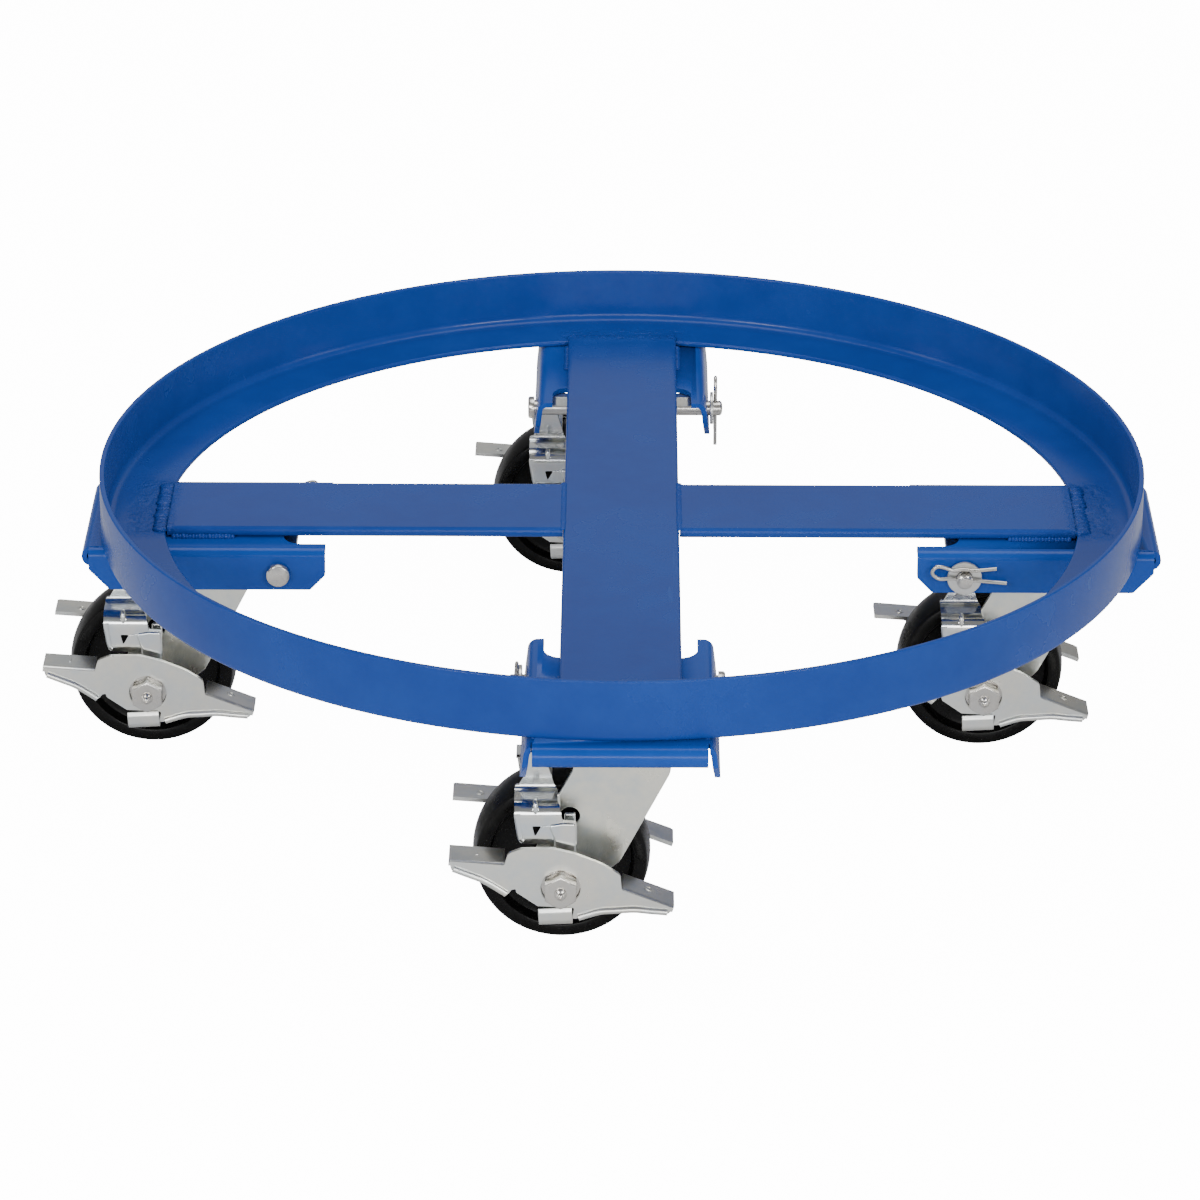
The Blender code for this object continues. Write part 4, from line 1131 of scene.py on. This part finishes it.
def fork_mesh():
    top, foot = FORK_HIGH.z, FORK_LOW.z
    legs = [(-FORK_HALF, foot), (-FORK_HALF, top), (FORK_HALF, top), (FORK_HALF, foot)]
    fork = bent("fork", rounded(legs, FORK_BEND_R, 9, closed=False), FORK_BLANK, SHEET, "YZ")
    shoulder = top - 13
    back, front = FORK_LOW.x - SWIVEL_R, FORK_HIGH.x - SWIVEL_R
    crown_back = -26.2
    side = rounded(
        [
            (crown_back, top + 5), (front - 2, top + 5), (front, shoulder),
            (-TRAIL + 33.0, AXLE_Z + 5), (-TRAIL + 12.0, foot), (-TRAIL - 12.0, foot),
            (-TRAIL - 16.0, AXLE_Z + 8), (-TRAIL - 1.5, AXLE_Z + 46), (crown_back, shoulder),
        ],
        [0, 0, 14, 12, 6, 8, 10, 8, 6], 8,
    )
    reach = 2 * FORK_HALF
    boolean(fork, flat("fork_side", [side], 4 * FORK_HALF, "XZ"), "INTERSECT")
    cut(fork, rod("kingpin_hole", KINGPIN_R + GAP, top - 10, top + 10))
    cut(fork, rod("axle_hole", KINGPIN_R + GAP, -reach, reach, "Y", (-TRAIL, AXLE_Z)))
    at = (TAB_HOLE_AT[0], AXLE_Z + TAB_HOLE_AT[1])
    cut(fork, rod("tab_hole", TAB_HOLE_R, -reach, reach, "Y", at))
    print("fork reaches from", round(back, 1), "to", round(front, 1), "mm about its swivel")
    return softened(fork, 0.4)


FORK = fork_mesh()

# %% [markdown]
# ## The brake shoe
# A deep pressing of thin zinc plated sheet that saddles the tread. On each side it has a ledge, a cheek
# outside the fork leg, a tongue that rises past the crown, a stamped gusset across the bend and a
# lanced window. Its edges are rolled in, and those rolls are what shines.

# %% Press the brake shoe
SHOE_LOW, SHOE_HIGH = box_mm("right_brake_shoe")
SHOE_SHEET = 2.0
SHOE_FACE = SHOE_HIGH.y
SHOE_BACK = SHOE_LOW.x - SWIVEL_R
LEDGE = AXLE_Z + 47.6
TONGUE_FACE = 20.3
TAB_AT = (-28.0, 34.6)


def above_axle(points):
    return [(x, AXLE_Z + z) for x, z in points]


def shoe_side(side):
    """One side of the shoe: side is -1 for the one at -Y, and 1 for the one at +Y."""
    foot, top = AXLE_Z + 13.2, SHOE_HIGH.z
    path = [(TONGUE_FACE, top), (TONGUE_FACE, LEDGE), (SHOE_FACE, LEDGE), (SHOE_FACE, foot)]
    path = [(side * y, z) for y, z in rounded(path, [0, 2.6, 8.0, 0], 12, closed=False)]
    if side < 0:
        path.reverse()
    folded = bent(f"cheek_{side}", path, SHOE_BLANK, SHOE_SHEET, "YZ")
    outline = [
        (SHOE_BACK, 49.6), (SHOE_BACK + 0.4, 42), (-56.0, 23.8), (-39.0, 23.4), (-37.5, 17.5),
        (-25.2, 15.2), (-24.2, 18), (-24.2, 37.2), (-32.0, 37.6), (-33.4, 46), (-36.6, 49.6),
        (-38.0, 54), (-43.8, 73), (-50.6, 73), (-54.0, 54), (-56.5, 49.6),
    ]
    radii = [1.5, 8, 3, 2, 2, 1.5, 1.5, 1.5, 1.5, 3, 0.5, 6, 1.5, 1.5, 6, 0.5]
    loop = rounded(above_axle(outline), radii, 5)
    boolean(folded, flat(f"cheek_outline_{side}", [loop], 200, "XZ"), "INTERSECT")
    window = [(-48.9, 34.6), (-43.8, 34.6), (-47.4, 28.0)]
    loop = rounded(above_axle(window), 0.5, 3)
    cut(folded, flat(f"window_{side}", [loop], 12, "XZ", side * SHOE_FACE))
    gusset = blob(f"gusset_{side}", (-47.0, side * (SHOE_FACE - 2.9), LEDGE - 2.4), (1.9, 3.6, 4.6))
    boolean(folded, gusset, "UNION")
    shells = [softened(folded, 0.35)]

    pressings = {
        "bulge": ([(-40.2, 35.6), (-31.6, 37.0), (-24.6, 36.8), (-24.6, 16.4), (-36.4, 18.6),
                   (-36.8, 27.5)], 2.0, 2.8, 0.1, 1.3),
        "lance": ([(-43.6, 34.8), (-38.4, 35.6), (-36.6, 25.4), (-46.4, 26.6)], 0.8, 1.6, 0.5, 0.6),
    }
    for name, (corners, corner_r, thick, depth, soft) in pressings.items():
        loop = rounded(above_axle(corners), corner_r, 4)
        raised = flat(f"{name}_{side}", [loop], thick, "XZ", side * (SHOE_FACE - depth))
        shells.append(softened(raised, soft, 4))

    roll_y = side * (SHOE_FACE - 1.6)
    rolls = (
        ([(SHOE_BACK + 2.0, 42.0), (SHOE_BACK + 2.3, 38.0), (-55.2, 27.0), (-54.0, 25.2)], 2.1),
        ([(-54.0, 25.2), (-50.0, 24.6), (-40.0, 24.4)], 1.5),
    )
    for line, radius in rolls:
        points = smooth_line([(x, roll_y, z) for x, z in above_axle(line)], 5)
        shells.append(smooth(wire("roll", points, radius, 5), 60))

    x, z = TAB_AT[0], AXLE_Z + TAB_AT[1]
    lug = side * (FORK_HALF + 0.7)
    for low, high, soft in (
        ((x - 3.2, side * (FORK_HALF - 2), z - 2.1), (x + 3.2, lug + side * 2.6, z + 2.1), 1.2),
        ((x - 3.2, lug, z - 7.0), (x + 3.2, lug + side * 2.6, z), 0.8),
        ((x - 3.2, lug, z - 7.0), (x + 3.2, side * (SHOE_FACE - 0.5), z - 5.0), 0.6),
    ):
        low, high = Vector(low), Vector(high)
        low.y, high.y = sorted((low.y, high.y))
        shells.append(softened(block(f"tab_{side}", low, high), soft, 4))
    return shells


def shoe_mesh():
    bridge = WHEEL_HIGH.z + 3.2
    half = TONGUE_FACE - 1.0
    saddle = block("saddle", (-53.5, -half, bridge), (-38.0, half, bridge + SHOE_SHEET))
    return joined([softened(saddle, 0.5), *shoe_side(-1), *shoe_side(1)])


SHOE = shoe_mesh()
print("brake shoe:", len(SHOE.polygons), "faces")

# %% [markdown]
# ## The brake levers
# Each lever is a stamped plate that rocks on the axle. A pedal folds in at each end, one for on and one
# for off. The lower edges are curled for stiffness, a tab folds down under the hub, and the pedals
# carry a plain bar and a plain ring as their on and off marks.

# %% Stamp the levers
LEVER_FACE = 49.5
LEVER_SHEET = 2.5
LEVER_HOLE_R = 11.2
LEVER_TILT = math.radians(13.0)
PEDAL_DEPTH = 19.5
PEDAL_START, PEDAL_TIP = (33.5, 7.4), (65.0, 2.5)
HUB_TAB_AT, HUB_TAB_WIDTH, HUB_TAB_LEAN = (1.1, -17.7), 19.0, math.radians(16.0)


def lever_plate():
    outline = [
        (-33.6, 6.6), (-33.4, 14.0), (-27.0, 18.6), (-10.0, 22.9), (4.0, 22.4), (18.5, 19.9),
        (30.6, 15.6), (33.5, 6.6), (64.4, 2.0), (62.4, -2.2), (43.0, -4.2), (24.5, -9.8),
        (12.8, -16.8), (10.6, -17.2), (10.3, -11.0), (9.4, -10.6), (-10.0, -14.0),
        (-23.4, -8.4), (-24.4, -6.4), (-26.4, -7.4), (-28.2, -11.4), (-43.4, -5.7), (-61.8, -3.2),
        (-64.4, 2.0),
    ]
    radii = [1.5, 4, 6, 14, 14, 14, 4, 1.5, 0.8, 2, 22, 16, 2.0, 0.6, 0.3, 0.3, 1, 0.8, 0.4, 0.4,
             2, 22, 2, 0.8]
    hole = arc((0, 0), LEVER_HOLE_R, 0, 352.5, 47)
    middle = -LEVER_FACE + LEVER_SHEET / 2
    return flat("lever", [rounded(outline, radii, 5), hole], LEVER_SHEET, "XZ", middle)


def pedal(side):
    """The pad folded in over the plate's edge, and its place: an apron runs down the plate's face."""
    start, tip = Vector(PEDAL_START), Vector(PEDAL_TIP)
    length = (tip - start).length
    face, back = -LEVER_FACE, -LEVER_FACE + PEDAL_DEPTH
    path = rounded([(face, -3.2), (face, 0.0), (back, 0.0)], 2.6, 7, closed=False)
    made = bent(f"pedal_{side}", path, length - 0.6, LEVER_SHEET, "YZ")
    middle = (start + tip) / 2
    slope = math.atan2(start.y - tip.y, tip.x - start.x)
    place = Matrix.Translation((side * middle.x * MM, 0, middle.y * MM))
    turn = place @ Matrix.Rotation(side * slope, 4, "Y")
    made.data.transform(turn)
    return made, turn


def pedal_marks(side, turn):
    """A raised bar on one pedal, and a raised ring on the other."""
    centre = -LEVER_FACE + 12.0
    if side < 0:
        mark = block("bar_mark", (-0.55, centre - 2.6, -0.2), (0.55, centre + 2.6, 0.35))
    else:
        mark = turned("ring_mark", [(1.5, 0.35), (2.5, 0.35), (2.5, -0.2), (1.5, -0.2)], 32, ring=True)
        mark.location.y = centre * MM
    mesh = softened(mark, 0.12)
    mesh.transform(turn)
    return mesh


def lever_mesh():
    plate, shells = lever_plate(), []
    for side in (-1, 1):
        pad, turn = pedal(side)
        boolean(plate, pad, "UNION")
        shells.append(pedal_marks(side, turn))
    shells.append(softened(plate, 0.5, 3))
    curl_y = -LEVER_FACE - 0.1
    curls = (
        [(-61.0, -1.9), (-52.0, -3.4), (-43.4, -4.9), (-34.5, -8.0), (-28.8, -10.3)],
        [(61.5, -1.0), (52.0, -2.4), (43.0, -3.6), (33.0, -6.6), (24.5, -9.3), (14.0, -15.6)],
    )
    for line in curls:
        points = smooth_line([(x, curl_y, z) for x, z in line], 6)
        shells.append(smooth(wire("curl", points, 2.0, 5), 60))
    face, low = -LEVER_FACE + 0.3, HUB_TAB_AT[1]
    corners = [(face + 0.9, low + 4.6), (face, low + 2.4), (face, low - 3.4), (face + 4.9, low - 4.1)]
    path = rounded(corners, [0, 1.2, 2.2, 0], 6, closed=False)
    mesh = softened(bent("hub_tab", path, HUB_TAB_WIDTH, 2.2, "YZ"), 0.5, 3)
    level = Matrix.Rotation(-HUB_TAB_LEAN, 4, "Y") @ Matrix.Translation((0, 0, -low * MM))
    mesh.transform(Matrix.Translation(Vector((HUB_TAB_AT[0], 0, low)) * MM) @ level)
    shells.append(mesh)
    return joined(shells)


LEVER = lever_mesh()
print("brake lever:", len(LEVER.polygons), "faces")

# %% [markdown]
# ## Wheel, bearing and axle
# The wheel is one moulding with a crowned tread, a web, and a hub that runs on a steel sleeve. The
# axle carries a spacer, the collar that a lever rocks on, a chamfered nut and a grease nipple on each
# side. Everything here is turned, so each piece is one profile, apart from the two hexagons.

# %% Turn the wheel and its axle
WHEEL_R = AXLE_Z - WHEEL_LOW.z
BEARING_R = 10.5
AXLE_END = box_mm("right_axle")[1].y
NUT_FACE = AXLE_END - 5.0
AXLE_NUT_FLATS = 17.5
NECK_R = 8.9  # between the lever and the nut's round shoulder
AXLE_R, SLEEVE_R = 6.35, 8.5


def wheel_mesh():
    crown = 2.0
    half = [
        (BEARING_R + GAP, 22.0), (14.8, 22.0), (15.6, 21.6), (16.0, 20.8), (16.4, 11.0), (17.2, 9.0),
        (19.4, 8.0), (37.0, 8.0), (39.2, 8.8), (40.2, 10.6), (40.6, 14.8), (41.0, 15.6), (41.8, 16.0),
        (45.6, 16.0), (WHEEL_R - crown - 1.4, 15.9), (WHEEL_R - crown - 0.5, 15.4),
    ]
    steps = 8
    tread = [
        (WHEEL_R - crown * (1 - i / steps) ** 2, 14.6 * (1 - i / steps)) for i in range(steps)
    ]
    upper = half + tread
    profile = upper + [(WHEEL_R, 0.0)] + [(r, -y) for r, y in reversed(upper)]
    return smooth(turned("wheel", profile, 120, "Y", ring=True), 32)


def bearing_mesh():
    bore, end = KINGPIN_R + GAP, 22.6
    profile = [(bore, end), (BEARING_R - 0.4, end), (BEARING_R, end - 0.4)]
    profile += [(BEARING_R, -end + 0.4), (BEARING_R - 0.4, -end), (bore, -end)]
    return smooth(turned("bearing", profile, 48, "Y", ring=True))


def axle_mesh():
    collar_r, collar_out = LEVER_HOLE_R - 0.3, LEVER_FACE - 2.2
    sleeve_in, collar_in = FORK_HALF + GAP, LEVER_FACE - LEVER_SHEET - 1.5
    nipple = [
        (0, AXLE_END - 1.2), (0.7, AXLE_END - 1.2), (0.8, AXLE_END), (1.6, AXLE_END - 0.3),
        (2.3, AXLE_END - 1.3), (2.2, AXLE_END - 2.0), (1.5, AXLE_END - 2.7), (1.7, AXLE_END - 3.2),
        (3.2, AXLE_END - 4.0), (3.4, AXLE_END - 4.3), (3.4, NUT_FACE - 0.5),
    ]
    bolt = [(6.0, NUT_FACE - 0.5), (AXLE_R, NUT_FACE - 1.2), (AXLE_R, collar_out)]
    half = nipple + bolt + [
        (NECK_R, collar_out), (NECK_R, collar_in + 1.4), (collar_r, collar_in + 1.4),
        (collar_r, collar_in), (SLEEVE_R, collar_in), (SLEEVE_R, sleeve_in), (AXLE_R, sleeve_in),
    ]
    profile = half + [(r, -y) for r, y in reversed(half)]
    shells = [smooth(turned("axle", profile, 48, "Y"))]
    for side in (-1, 1):
        low, high = sorted((side * collar_out, side * (NUT_FACE - 0.1)))
        shells.append(softened(hex_nut(f"nut_{side}", AXLE_NUT_FLATS, low, high, "Y"), 0.2))
    return joined(shells)


WHEEL, BEARING, AXLE = wheel_mesh(), bearing_mesh(), axle_mesh()
print("wheel:", len(WHEEL.polygons), "faces; axle:", len(AXLE.polygons), "faces")

# %% [markdown]
# ## Fit the casters
# All four casters are the same and trail the same way. Each shared mesh is copied to its place, rides
# on the body that moves it, and stands for its CAD node.

# %% Fit the casters
for station in STATIONS:
    swivel = joint_mm(f"{station}_swivel")
    about_swivel = Matrix.Translation(Vector((swivel.x, swivel.y, 0)) * MM)
    about_axle = Matrix.Translation(joint_mm(f"{station}_wheel_spin") * MM)
    rocked = about_axle @ Matrix.Rotation(LEVER_TILT, 4, "Y")
    turned_round = rocked @ Matrix.Rotation(math.pi, 4, "Z")
    fit(station, "fork", FORK, about_swivel, METAL["zinc_plate"], "yoke")
    fit(station, "brake_shoe", SHOE, about_swivel, METAL["zinc_pressing"], "shoe")
    fit(station, "wheel", WHEEL, about_axle, WHEEL_BLACK, "roller")
    fit(station, "wheel_bearing", BEARING, about_axle, METAL["bearing_steel"], "roller")
    fit(station, "axle", AXLE, about_axle, METAL["bright_steel"], "yoke")
    fit(station, "near_brake_lever", LEVER, rocked, METAL["lever_zinc"], "levers")
    fit(station, "far_brake_lever", LEVER, turned_round, METAL["lever_zinc"], "levers")
    print("fitted the", station, "caster")

# %% [markdown]
# ## Finish

# %% Finish
import json
